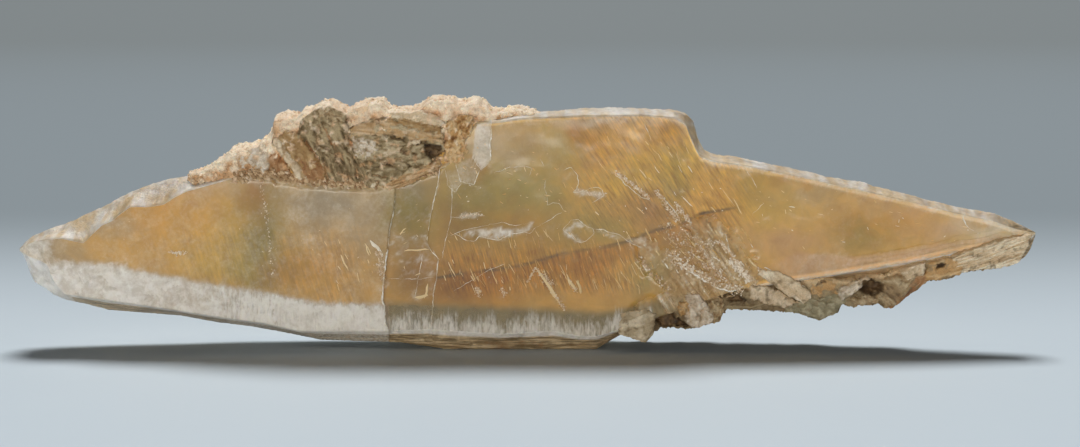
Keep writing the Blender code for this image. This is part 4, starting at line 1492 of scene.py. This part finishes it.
# %% Shoulder
# outline, lift, lean of the grain, its stretch, its size, relief, stone
SHOULDER = stones([
    ([(52.8, 50.1), (55.6, 51.3), (59.2, 52), (57.4, 50), (55.6, 48.4), (54.8, 45.6), (53.2, 47.6)],
     -10.25, 25, 1.5, 3.0, 0.7, "orange"),
    ([(56.3, 49.1), (58.4, 52.1), (61.9, 53.2), (64.6, 51.1), (64.9, 47.6), (63.6, 43.6), (60.5, 43.6),
      (59.2, 46.4), (57.2, 46)], -10.55, 90, 1.4, 2.6, 0.9, "white"),
    ([(63.8, 51.5), (67, 50.3), (69.7, 47), (71.2, 44), (66.5, 43.4), (63.8, 45.6)],
     -9.75, -60, 1.5, 2.4, 0.6, "rust"),
    ([(66.5, 54.2), (69, 56.4), (72, 55.9), (75.1, 52.1), (79.4, 46.6), (78.8, 44.2), (74.5, 43.4),
      (71, 45.4), (67.2, 51)], -10.85, -52, 2.4, 2.2, 0.5, "amber"),
    ([(65.6, 54.6), (67.6, 54.8), (69.8, 51), (72.6, 47.8), (74.4, 44.2), (72.2, 44), (69.4, 48),
      (66.6, 51.4)], -11.35, -54, 3.0, 1.8, 0.5, "cream"),
    ([(72.8, 49), (76.6, 49.4), (79.3, 46.6), (78.6, 44.2), (75, 43.8), (72.8, 46)],
     -11.15, -40, 1.5, 1.6, 0.6, "rust"),
    ([(72.3, 57.9), (75.1, 61.3), (80.2, 63.3), (83.4, 62.3), (84.8, 58.2), (85.4, 52), (87.2, 46.6),
      (89.6, 43), (85.2, 43.2), (79.8, 43.6), (77.1, 49.8), (74.9, 52.9), (71.9, 54.9)],
     -11.35, -57, 2.0, 2.4, 1.7, "olive"),
    ([(72.5, 58.3), (75.1, 61.4), (80.2, 63.4), (83.4, 62.4), (84.6, 59.4), (81, 57.4), (77.4, 58.6),
      (74, 56.8)], -11.35, -20, 1.3, 1.8, 1.5, "tan sand"),
    ([(77.4, 58), (80.6, 57.4), (83.8, 52), (84.2, 48.4), (82, 50.4), (79, 54.6)],
     -11.35, -57, 2.8, 1.5, 1.5, "rust"),
    ([(84.4, 52.8), (86.2, 53), (91.8, 44), (92, 41.8), (89.2, 42.2), (86.2, 47.6)],
     -11.35, -60, 6.0, 0.9, 1.4, "olive"),
    ([(84.7, 57.2), (90.3, 59.2), (96.4, 60.3), (103, 59.4), (109.4, 57), (109.2, 51.2), (104.5, 47.2),
      (99.4, 44.9), (94.8, 41.6), (90.6, 41.4), (86.8, 49.1)], -10.95, 6, 1.7, 2.1, 1.9, "block"),
    ([(85.9, 54.8), (91.5, 54.6), (92.6, 51.6), (89.4, 49), (86.6, 50.6)],
     -11.35, 10, 1.2, 1.2, 1.0, "white"),
    ([(84.9, 57), (89.5, 58.6), (96, 59.6), (100, 57.6), (108.8, 55.6), (109, 53.4), (100.5, 54.4),
      (92, 55.5), (86, 55.2)], -11.15, -5, 7.0, 1.1, 0.45, "band"),
    ([(95.2, 61.8), (100.4, 62.2), (106.5, 60.6), (109.6, 58.4), (108, 57.4), (101, 58.9), (95.8, 60)],
     -11.25, -8, 5.0, 2.0, 0.5, "pale"),
    ([(97.8, 60), (103, 59.1), (108.4, 57.4), (108.8, 55.4), (100.5, 57.2), (97.6, 58.2)],
     -11.25, -11, 9.0, 0.8, 0.6, "amber"),
    ([(98.4, 56.9), (102.4, 57.3), (102.6, 56.1), (99, 55.7)], -11.40, 5, 2.0, 1.0, 0.3, "cream"),
    ([(99.8, 54), (103.4, 54.5), (103.2, 53.3), (100.2, 53)], -11.40, 8, 2.0, 1.0, 0.3, "cream"),
    ([(103, 52.3), (106.2, 52.5), (106.2, 51.6), (103.2, 51.4)], -11.40, 3, 2.0, 1.0, 0.3, "cream"),
    ([(93.4, 51.4), (97.6, 52.6), (98, 51), (94, 49.9)], -11.40, 12, 2.0, 1.0, 0.4, "cream"),
    ([(94.2, 42.6), (97.4, 44.9), (103, 47.3), (107.8, 49.2), (108.8, 47.8), (103, 44.4), (98.4, 41.9),
      (95, 41.3)], -11.25, 24, 5.0, 0.8, 0.8, "band"),
    ([(109.4, 58.6), (113, 60.6), (116.6, 60), (116.4, 56.6), (115.2, 53.7), (115.9, 51), (112.8, 47.4),
      (109, 48.6), (109.2, 52.6), (110.2, 55.7)], -11.05, 90, 1.2, 1.8, 1.7, "orange"),
])
# Recesses painted dark as shade.
SHOULDER_HOLLOWS = stones([
    ([(103.8, 53.6), (109, 53.6), (108.8, 50.2), (106.4, 48.9), (103.8, 50.6)], 2.4, "dark"),
    ([(108.6, 48.3), (111.9, 47.6), (112.2, 46), (109.2, 46)], 2.2, "dark"),
    ([(85.2, 56.2), (91, 55.7), (97.4, 55.1), (97.4, 54.7), (91, 55.2), (85.2, 55.6)], 1.2, "dark"),
])
SHOULDER_LOW = [(43, 42.8), (50, 43.6), (56, 43.4), (62, 42.6), (94, 41.0), (104, 44.0),
                (110, 40.6), (116, 42.4), (121.5, 45.5), (122.5, 57.8), (134, 58.6)]
SHOULDER_HIGH = [
    (43, 45.4), (48, 46.6), (52.8, 50.1), (54.8, 51.6), (58.4, 52.6), (61.4, 53.6), (63.9, 55),
    (65.5, 57.4), (65.9, 60.3), (69, 60.9), (71.5, 60.3), (73.1, 61.9), (75.1, 62.2), (77.1, 63.3),
    (80.2, 63.9), (82.7, 63), (84.2, 62), (86.2, 63.3), (90.3, 64.3), (93.3, 64), (94.9, 62.4),
    (100.4, 62.2), (103, 63), (105.5, 64.9), (108.6, 65), (111.1, 64.6), (112.6, 63.8), (114.6, 63.8),
    (117.2, 64.6), (119.7, 63), (121, 61.8), (124, 61.4), (128, 62.3), (132, 61.2), (134, 60.2),
]
SHOULDER_FRONT = [(43, -7.6), (50, -9.6), (56, -10.9), (60, -10.7), (68, -8.2), (116, -8.0),
                  (121, -8.4), (134, -7.2)]
SHOULDER_BACK = [(43, 4), (52, 7), (60, 9.6), (118, 9.6), (134, 6)]
SHOULDER_ROWS = [104, 40, 60, 14]
SHOULDER_RIM = (0.95, 0.79, 0.60, 0.55)
shoulder = carved_skin("shoulder_crust", SHOULDER_ROWS, SHOULDER_LOW, SHOULDER_HIGH, SHOULDER_FRONT,
                       SHOULDER_BACK, STONES["pink sand"], SHOULDER_RIM, SHOULDER, SHOULDER_HOLLOWS)
adopt(shoulder, stone_finish("pink_sand", rough=0.75, grain=0.25, flesh=0.15))
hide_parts("shoulder_sand_crust")
print("shoulder", len(shoulder.data.polygons), "faces")

# %% [markdown]
# ## The torn underside
#
# The thin half broke off its bed, so its lower edge is all lips, lobes and pits: a pale
# flange, a pit painted dark as its shade, sugary lumps and a sandy nub, a brown ledge, one long
# tongue, pale-green nodules, an orange hollow, a brown wedge, and thin cream layers out to
# the point.

# %% Underside
UNDERSIDE = stones([
    ([(153.5, 10.5), (160, 11.4), (163, 9.5), (162.6, 5), (161.4, 2.6), (159, 1.4), (153.5, 3.6)],
     -10.9, 20, 3.0, 3.4, 0.45, "milky"),
    ([(171, 12.9), (175.5, 13.2), (177.7, 9.5), (177.1, 6.6), (173, 5.6), (170.2, 8)],
     -10.9, -60, 1.3, 2.0, 0.7, "white"),
    ([(168.6, 13.2), (171, 12.8), (171.8, 9.2), (169, 9.6)], -11.2, 80, 2.0, 1.6, 0.5, "orange"),
    ([(169.2, 15.8), (173.7, 15.4), (175.4, 12.8), (171.2, 12.4)], -11.25, -30, 2.0, 3.0, 0.3, "white"),
    ([(176.3, 13.2), (180, 14), (180.6, 11), (179.6, 7.4), (176.5, 7.2)],
     -11.0, 85, 1.3, 1.8, 1.2, "tan sand"),
    ([(180, 13.8), (186, 16.2), (192, 14.5), (196.5, 12.3), (192, 10.2), (187, 10.2), (180.2, 10.6)],
     -9.9, 8, 2.5, 2.4, 1.0, "brown sand"),
    ([(186.6, 17), (191, 17.2), (196, 14.7), (199.4, 12.6), (196, 11.2), (191, 12.3), (187, 13.8)],
     -10.9, -15, 3.0, 3.0, 0.4, "cream"),
    ([(189.6, 22.2), (194, 21.4), (198.4, 18.7), (202.2, 15.7), (202.6, 13.8), (200.6, 12.6), (196.6, 14.4),
      (192.6, 17.4), (188.6, 20)], -11.35, -38, 4.0, 2.6, 0.35, "pale"),
    ([(196, 12.9), (201, 13.2), (206, 14.2), (210, 15.2), (211.7, 13), (209.9, 11), (209.5, 9.3),
      (205.1, 7.6), (203, 8), (199.5, 9.6), (196, 9.8)], -10.3, 0, 1.2, 3.0, 0.8, "green"),
    ([(202.2, 17.4), (206, 18.9), (211.2, 17), (209.7, 14.3), (205, 13.8), (202.6, 14.4)],
     -9.6, -20, 3.0, 3.0, 0.3, "orange"),
    ([(208.8, 15.8), (213, 18), (216.2, 19.6), (217.4, 18.6), (214.4, 15.6), (210.5, 13.4)],
     -11.1, 32, 3.0, 1.4, 0.6, "white"),
    ([(213, 13.4), (216.5, 14.6), (220, 14.2), (219.6, 12), (214, 11.2)],
     -10.2, 10, 1.4, 2.0, 0.8, "tan sand"),
    ([(220.8, 19), (226, 19.9), (229.2, 20.7), (228.9, 17.3), (224.9, 12.6), (221.5, 10.9), (219.3, 13.5)],
     -10.8, -40, 2.2, 2.4, 0.9, "tan sand"),
    ([(224.8, 16.4), (229, 19.3), (233.4, 20.7), (232, 17.8), (229.7, 15.6), (227.6, 14.2), (224.8, 11.9),
      (222.3, 10.8)], -10.3, 36, 3.0, 2.4, 0.6, "rust"),
    ([(224.3, 21), (228, 22.8), (231.7, 23.3), (231.2, 19.8), (227, 18.6)],
     -11.2, 30, 1.2, 2.0, 0.6, "cream"),
    ([(232.3, 22.7), (237, 24.3), (241.2, 22.7), (240.7, 20.1), (235, 18.3), (231.3, 18.3)],
     -10.7, 20, 3.0, 3.0, 0.4, "orange"),
    ([(237.5, 24.7), (246, 27.7), (252, 29.7), (258.6, 30.5), (258.2, 27.6), (255.7, 22.9), (250.9, 21.3),
      (245, 20.9), (240.3, 20.3)], -10.9, 20, 9.0, 0.9, 0.9, "pale"),
])
# Pits painted dark as shade, and one shallow amber hollow.
UNDERSIDE_HOLLOWS = stones([
    ([(162.8, 10.5), (166, 11), (169.5, 8.7), (172.1, 6.2), (167, 4.6), (164, 5), (162.6, 7.5)],
     3.0, "dark"),
    ([(180.6, 13.4), (184, 14.8), (188, 13.4), (185, 12.2), (181, 12.2)], 1.6, "dark"),
    ([(215.3, 18.2), (218, 18.8), (221.7, 17.7), (221.2, 15), (217, 14.3), (214.5, 15.6)], 2.6, "dark"),
    ([(203.2, 17.8), (206.4, 18.8), (207.2, 17.6), (204, 16.6)], 0.8, "dark"),
    ([(234.2, 22.6), (237.4, 23.4), (237, 22.2), (234.4, 21.4)], 1.2, "dark"),
    ([(242, 23.6), (249, 26.4), (249, 25.8), (242, 23)], 0.5, "amber"),
])
UNDERSIDE_LOW = [
    (152, 6.0), (153.7, 4.6), (157.9, 3.2), (160, 2.3), (161.4, 3.3), (162.5, 4.8), (164.3, 5.7),
    (172, 5.7), (176.9, 7.3), (179.4, 7.8), (180.1, 9.8), (181.4, 10.9), (187.5, 10.6),
    (197.3, 10.1), (199.5, 9.9), (203, 8.5), (205.1, 8), (207.2, 9.2), (209.7, 10), (210.4, 12.2),
    (213.5, 11.3), (214.9, 12), (218.5, 11.8), (219.5, 12.4), (221.3, 11.2), (223, 11.1),
    (224.8, 12.2), (227.6, 14.5), (229.7, 15.9), (231.8, 17.9), (238.2, 18.7), (241, 20.3),
    (250.9, 21.6), (255.1, 22.8), (256.8, 25.8), (258.8, 28.6),
]
UNDERSIDE_HIGH = [
    (152, 7.0), (153.7, 11), (160, 12), (169, 15.9), (175, 15.6), (181, 14.6), (187, 17.5), (189.6, 22),
    (194, 21.6), (200, 19), (206, 19.2), (212, 18.6), (217, 20.2), (222, 20.4), (228, 23), (233, 24.2),
    (238, 25.2), (246, 28), (252, 29.8), (258.8, 30.6),
]
UNDERSIDE_FRONT = [(152, -8.6), (236, -9.2), (250, -8.8), (258.8, -8.2)]
UNDERSIDE_BACK = [(152, 7.0), (186, 8.4), (236, 0.5), (258.8, -5.0)]
UNDERSIDE_ROWS = [70, 10, 30, 26]
UNDERSIDE_RIM = (0.66, 0.49, 0.29, 0.95)
underside = carved_skin("underside_rind", UNDERSIDE_ROWS, UNDERSIDE_LOW, UNDERSIDE_HIGH, UNDERSIDE_FRONT,
                        UNDERSIDE_BACK, STONES["brown sand"], UNDERSIDE_RIM, UNDERSIDE, UNDERSIDE_HOLLOWS,
                        rounding=0.8)
adopt(underside, stone_finish("brown_sand", rough=0.65, grain=0.25, flesh=0.15))
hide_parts("underside_sand_rind")
print("underside", len(underside.data.polygons), "faces")

# %% [markdown]
# ## Loose grains
#
# Single grains of sand stick out of the crust and catch the light. One small angular grain is
# modelled, then set many times at random, each turned, stretched and toned for itself, and
# all of them are joined in one piece.

# %% Grains
GRAIN_SEED = 5
SETTING_SEED = 11
GRAIN_SMALL = 0.12
GRAIN_LARGE = 0.55


def grain_shape(facets):
    """One angular grain: a small icosphere knocked out of round."""
    deselect_all()
    bpy.ops.mesh.primitive_ico_sphere_add(subdivisions=facets, radius=1.0)
    grain = bpy.context.object
    bpy.ops.object.mode_set(mode="EDIT")
    bpy.ops.mesh.select_all(action="SELECT")
    bpy.ops.transform.vertex_random(offset=0.28, seed=GRAIN_SEED)
    bpy.ops.object.mode_set(mode="OBJECT")
    corners = np.array([vertex.co[:] for vertex in grain.data.vertices])
    faces = np.array([polygon.vertices[:] for polygon in grain.data.polygons])
    bpy.data.objects.remove(grain, do_unlink=True)
    return corners, faces


def read_layer(piece, name, width):
    """Painted values of a piece, as rows."""
    painted = piece.data.attributes[name].data
    values = np.empty(len(painted) * width)
    painted.foreach_get("value" if width == 1 else "color", values)
    return values.reshape(-1, width)


def join_copies(name, corners, faces, places):
    """One mesh from many placed copies of a small shape; places holds (x, y, z) rows."""
    shifts = np.arange(len(places) // len(corners))[:, None, None] * len(corners)
    mesh = bpy.data.meshes.new(name)
    points = in_frame(places[:, 0], places[:, 1], places[:, 2])
    mesh.from_pydata(points.tolist(), [], (faces[None] + shifts).reshape(-1, 3).tolist())
    joined = bpy.data.objects.new(name, mesh)
    bpy.context.collection.objects.link(joined)
    return joined


def set_grains(name, ground, count):
    """Grains at random over the sandy points of a piece."""
    corners, faces = grain_shape(1)
    draw = np.random.default_rng(SETTING_SEED)
    flat = np.empty(len(ground.data.vertices) * 3)
    ground.data.vertices.foreach_get("co", flat)
    points = flat.reshape(-1, 3) / MM - np.array([cad_low.x / MM, 0.0, 0.0])
    ground.data.vertices.foreach_get("normal", flat)
    normals = flat.reshape(-1, 3)
    open_sand = np.flatnonzero(read_layer(ground, "sandy", 1)[:, 0] > 0.5)
    chosen = draw.choice(open_sand, count)
    sizes = GRAIN_SMALL + (GRAIN_LARGE - GRAIN_SMALL) * draw.random(count) ** 2.2
    places = []
    for index, size, spin in zip(chosen, sizes, draw.normal(size=(count, 4))):
        turn = np.array(Quaternion(spin).normalized().to_matrix())
        stretch = size * (0.75 + 0.5 * draw.random(3))
        places.append((corners * stretch) @ turn.T + points[index] + normals[index] * size * 0.1)
    low = np.array([0.0, FRONT - OVERSIZE, 0.0])
    high = np.array([LENGTH, BACK + OVERSIZE_BACK, TOP + OVERSIZE_TOP])
    grains = join_copies(name, corners, faces, np.clip(np.concatenate(places), low, high))
    tones = 0.85 + 0.4 * draw.random((count, 1))
    painted = read_layer(ground, "paint", 4)[chosen, :3] * tones
    paint_layers(grains, {"paint": np.repeat(painted, len(corners), axis=0)})
    return grains


for ground, count, slot in [(shoulder, 3200, "pink_sand"), (underside, 900, "brown_sand")]:
    grains = set_grains(ground.name + "_grains", ground, count)
    adopt(grains, ground.data.materials[0])
    print(grains.name, len(grains.data.polygons), "faces")

# %% [markdown]
# ## Slivers of clay
#
# Slivers of clay and sand lie just under the skin, and the shallowest ones break it: upright
# rust fibres below the growth seam, slanting ones under the plateau, a few thick pale straws
# in the window, and rows of bright specks. One sliver is modelled, then repeated with its
# own length, lean and tone.

# %% Slivers
# count, x from, x to, z from, z to, lean, spread, length from, length to, width, tone from, tone to
SWARMS = [
    (90, 77, 94, 13.5, 31, -24, 14, 0.8, 4.2, 0.26, 0.35, 0.85),
    (300, 108, 160, 13.5, 26, -22, 9, 1.0, 5.0, 0.26, 0.1, 0.7),
    (130, 110, 158, 25, 33, -26, 9, 0.8, 3.6, 0.22, 0.1, 0.7),
    (120, 111, 140, 33, 56, -60, 40, 0.4, 2.2, 0.30, 0.2, 0.85),
    (130, 140, 187, 31, 59, -33, 9, 1.0, 6.0, 0.26, 0.2, 0.9),
    (150, 187, 246, 24, 44, -62, 30, 0.4, 1.9, 0.22, 0.3, 0.95),
    (130, 160, 188, 15, 34, -35, 12, 1.0, 4.0, 0.40, 0.2, 1.0),
    (70, 62.5, 66.5, 18, 44, 0, 60, 0.2, 0.5, 0.22, 0.85, 1.0),
    (70, 25, 94, 18, 43, 0, 60, 0.2, 0.6, 0.14, 0.6, 1.0),
    (60, 110, 160, 13, 50, 0, 60, 0.2, 0.5, 0.20, 0.85, 1.0),
    (26, 97, 105, 13, 44, -50, 60, 0.8, 3.0, 0.30, 0.45, 0.85),
    (30, 150, 185, 28, 45, -35, 30, 0.3, 1.0, 0.35, 0.85, 1.0),
]
# x0, z0, x1, z1, width, tone
STRAWS = [
    (97.4, 29.8, 99.9, 32.4, 0.45, 0.7), (99.9, 32.2, 105.3, 35.5, 0.5, 0.75),
    (102.5, 37.2, 103, 32.9, 0.35, 0.7), (99.9, 30.9, 102.4, 26.8, 0.4, 0.6),
    (98.2, 37.7, 105.5, 38.2, 0.5, 0.8), (98.9, 26, 105.5, 26.3, 0.45, 0.65),
    (81.9, 29.6, 83.1, 26.8, 0.3, 0.7), (82.6, 25.2, 84.8, 20.6, 0.45, 0.65),
    (85.2, 30.9, 86.4, 27.8, 0.3, 0.7), (89.2, 27.3, 90, 24.7, 0.35, 0.7),
    (90.2, 28.8, 93.8, 24.7, 0.9, 0.85), (92.3, 25.5, 92.8, 20.5, 0.7, 0.8),
    (102.6, 18.6, 101.8, 13.9, 0.5, 0.6), (104.9, 17.5, 103.9, 13.4, 0.6, 0.65),
    (101.6, 14, 105, 14.3, 0.9, 0.6), (95.8, 24.7, 97.8, 20.6, 0.25, 0.7),
    (130.1, 17.9, 132.4, 21.7, 0.7, 0.6), (132.4, 21.7, 138.9, 11.8, 1.0, 0.6),
    (125.3, 17.6, 126.3, 14.6, 0.8, 0.6), (117.6, 16.4, 118.0, 14.4, 1.1, 0.6),
    (140.5, 18.9, 142.8, 15.3, 0.8, 0.6), (142.8, 18.4, 144.1, 14.8, 0.7, 0.55),
    (38.5, 25.4, 43.6, 25.5, 0.45, 1.0),
]
print(len(SWARMS), "swarms and", len(STRAWS), "straws")

# %% [markdown]
# ## Making the slivers
#
# Each swarm draws its slivers at random. The angular grain of the last step, stretched
# along one axis and bent a little, makes a sliver, which lies in the face or just under it.

# %% Sliver pieces
SLIVER_SEED = 21
SLIVER_SUNK = 0.36


def sliver_list():
    """Place, lean, half length, half width and tone of every sliver."""
    draw = np.random.default_rng(SLIVER_SEED)
    rows = []
    for (count, x0, x1, z0, z1, lean, spread, short, long, width, low, high) in SWARMS:
        middle = 0.5 + 0.5 * speckle(draw.random(count) * 40.0, 0.0, count, 5.0)
        x = x0 + (x1 - x0) * draw.random(count)
        z = z0 + (z1 - z0) * np.clip(0.6 * draw.random(count) + 0.4 * middle, 0.0, 1.0)
        length = short + (long - short) * draw.random(count) ** 1.8
        tilt = np.radians(lean + spread * draw.normal(size=count))
        broad = width * (0.35 + 0.9 * draw.random(count) ** 1.5)
        tone = low + (high - low) * draw.random(count)
        rows.append(np.stack([x, z, tilt, length / 2.0, broad / 2.0, tone], axis=1))
    for x0, z0, x1, z1, width, tone in STRAWS:
        tilt = math.atan2(x1 - x0, z1 - z0)
        rows.append([[(x0 + x1) / 2.0, (z0 + z1) / 2.0, tilt, math.hypot(x1 - x0, z1 - z0) / 2.0,
                      width / 2.0, tone]])
    return np.concatenate(rows)


def make_slivers():
    corners, faces = grain_shape(2)
    rows = sliver_list()
    below_top = follow(FACE_TOP, rows[:, 0]) - rows[:, 1] > 1.5
    above_foot = rows[:, 1] - follow(FACE_BOTTOM, rows[:, 0]) > 1.5
    rows = rows[below_top & above_foot]
    draw = np.random.default_rng(SLIVER_SEED + 1)
    sunk = SLIVER_SUNK * draw.random(len(rows)) ** 1.5
    depth = face_depth(rows[:, 0], rows[:, 1]) + sunk + 0.2 * rows[:, 4]
    along = corners[None, :, 2] * rows[:, 3, None]
    across = corners[None, :, 0] * rows[:, 4, None]
    across = across + 0.5 * rows[:, 4, None] * np.sin(along * 1.7 + rows[:, 0, None])
    sine, cosine = np.sin(rows[:, 2, None]), np.cos(rows[:, 2, None])
    x = rows[:, 0, None] + along * sine + across * cosine
    z = rows[:, 1, None] + along * cosine - across * sine
    y = depth[:, None] + corners[None, :, 1] * np.minimum(rows[:, 4, None], 0.35)
    places = np.stack([x.ravel(), y.ravel(), z.ravel()], axis=1)
    slivers = join_copies("clay_slivers", corners, faces, places)
    paint_layers(slivers, {"tone": np.repeat(rows[:, 5], len(corners))})
    return slivers


def sliver_finish():
    clay = Finish("clay_slivers")
    tone = clay.layer("tone") + (clay.noise(0.5, 3.0) - 0.5) * 0.25
    colour = clay.mix((0.42, 0.21, 0.05), (0.66, 0.41, 0.14), tone.step(0.0, 0.3))
    colour = clay.mix(colour, (0.84, 0.66, 0.38), tone.step(0.3, 0.65))
    colour = clay.mix(colour, (0.93, 0.87, 0.76), tone.step(0.7, 0.9))
    return clay.finish(clay.principled(Base_Color=colour, Roughness=0.5))


# %% Place the slivers
slivers = make_slivers()
adopt(slivers, sliver_finish())
print("slivers", len(slivers.data.polygons), "faces")

# %% [markdown]
# ## Sugar crumbs
#
# Sugary gypsum crumbs sit along the broken bars, in a V below the seam, at the edges of the
# flakes and where the crust meets the wide face. They follow short lines and lie on the
# surface, so they catch the light from every side.

# %% Crumbs
# count, spread, size from, size to, tone from, tone to, line
CRUMBS = [
    (150, 0.7, 0.12, 0.34, 0.55, 0.95, [(162.6, 41.5), (165.5, 37.5), (168.9, 33.4)]),
    (150, 0.6, 0.12, 0.32, 0.55, 0.95, [(152.7, 46.0), (157.0, 42.8), (161.3, 39.4)]),
    (90, 0.7, 0.12, 0.30, 0.70, 1.0, [(167.9, 38.2), (169.5, 35.5), (171.5, 33.2)]),
    (170, 0.5, 0.12, 0.34, 0.60, 1.0, [(174.0, 27.0), (177.5, 22.0), (182.8, 16.1)]),
    (170, 0.6, 0.12, 0.34, 0.70, 1.0, [(176.0, 28.2), (179.5, 28.0), (183.5, 23.5), (187.1, 19.1)]),
    (170, 0.9, 0.14, 0.42, 0.85, 1.0, [(182.3, 23.2), (184.5, 20.8), (186.6, 18.2)]),
    (220, 1.4, 0.12, 0.36, 0.70, 1.0, [(165.6, 25.2), (170.0, 22.6), (174.0, 19.7)]),
    (200, 1.8, 0.10, 0.30, 0.40, 0.95, [(170.5, 31.5), (174.5, 27.5), (179.5, 21.0)]),
    (200, 2.2, 0.10, 0.30, 0.40, 0.95, [(165.0, 33.0), (169.0, 27.5), (176.0, 21.0)]),
    (200, 1.2, 0.12, 0.34, 0.60, 1.0, [(174.0, 19.7), (179.0, 17.6), (184.6, 15.6)]),
    (150, 1.2, 0.12, 0.34, 0.50, 0.90, [(158.5, 24.0), (162.5, 19.5), (167.0, 15.5)]),
    (60, 0.35, 0.10, 0.22, 0.60, 0.90, [(130.1, 17.9), (132.4, 21.7)]),
    (170, 0.55, 0.10, 0.26, 0.55, 0.95, [(132.4, 21.7), (136.0, 16.5), (139.7, 10.8)]),
    (80, 0.7, 0.10, 0.24, 0.55, 0.90, [(134.4, 19.9), (137.0, 16.9)]),
    (60, 0.6, 0.10, 0.24, 0.60, 0.95, [(117.3, 16.4), (118.0, 14.4)]),
    (50, 0.5, 0.10, 0.24, 0.60, 0.95, [(123.6, 16.6), (124.4, 14.6)]),
    (60, 0.5, 0.10, 0.24, 0.60, 0.90, [(140.5, 18.9), (142.8, 15.3)]),
    (70, 0.5, 0.10, 0.24, 0.70, 1.0, [(143.0, 41.5), (146.5, 40.5), (150.0, 40.5)]),
    (60, 0.4, 0.10, 0.22, 0.70, 1.0, [(113.0, 34.6), (116.0, 35.4), (119.0, 35.2)]),
    (70, 0.5, 0.10, 0.24, 0.70, 1.0, [(62.8, 43.0), (64.2, 34.0), (65.5, 20.0)]),
    (110, 0.9, 0.12, 0.34, 0.55, 0.90, [(92.2, 26.5), (93.0, 22.0), (93.4, 18.0)]),
    (140, 0.8, 0.10, 0.28, 0.60, 1.0, [(188.5, 21.5), (193.5, 19.6), (200.0, 16.4)]),
    (60, 0.5, 0.10, 0.24, 0.80, 1.0, [(39.0, 25.6), (41.5, 25.4), (43.6, 25.7)]),
    (1100, 1.6, 0.16, 0.60, 0.0, 0.80, [(57.0, 45.0), (63.0, 45.8), (69.0, 44.8), (80.3, 43.9), (91.0, 43.3),
                                        (99.2, 44.6), (107.6, 47.6)]),
]


def make_crumbs():
    corners, faces = grain_shape(1)
    draw = np.random.default_rng(SLIVER_SEED + 2)
    places = []
    tones = []
    for count, spread, small, large, low, high, line in CRUMBS:
        line, reach = measured(line)
        along = reach[-1] * draw.random(count)
        x = np.interp(along, reach, line[:, 0]) + 0.5 * spread * draw.normal(size=count)
        z = np.interp(along, reach, line[:, 1]) + 0.5 * spread * draw.normal(size=count)
        size = small + (large - small) * draw.random(count) ** 2.0
        tone = low + (high - low) * draw.random(count)
        y = np.maximum(face_depth(x, z) - 0.2 * size, FRONT - 0.1)
        centres = np.stack([x, y, z], axis=1)
        flat = size[:, None, None] * (0.7 + 0.6 * draw.random((count, 1, 3))) * corners[None]
        places.append((flat + centres[:, None, :]).reshape(-1, 3))
        tones.append(np.repeat(tone, len(corners)))
    crumbs = join_copies("sugar_crumbs", corners, faces, np.concatenate(places))
    paint_layers(crumbs, {"tone": np.concatenate(tones)})
    return crumbs


def crumb_finish():
    sugar = Finish("sugar_crumbs")
    tone = sugar.layer("tone")
    colour = sugar.mix((0.34, 0.20, 0.09), (0.62, 0.43, 0.25), tone.step(0.1, 0.65))
    colour = sugar.mix(colour, (0.92, 0.82, 0.68), tone.step(0.65, 1.0))
    return sugar.finish(sugar.principled(Base_Color=colour, Roughness=0.55))


# %% Place the crumbs
crumbs = make_crumbs()
adopt(crumbs, crumb_finish())
print("crumbs", len(crumbs.data.polygons), "faces")
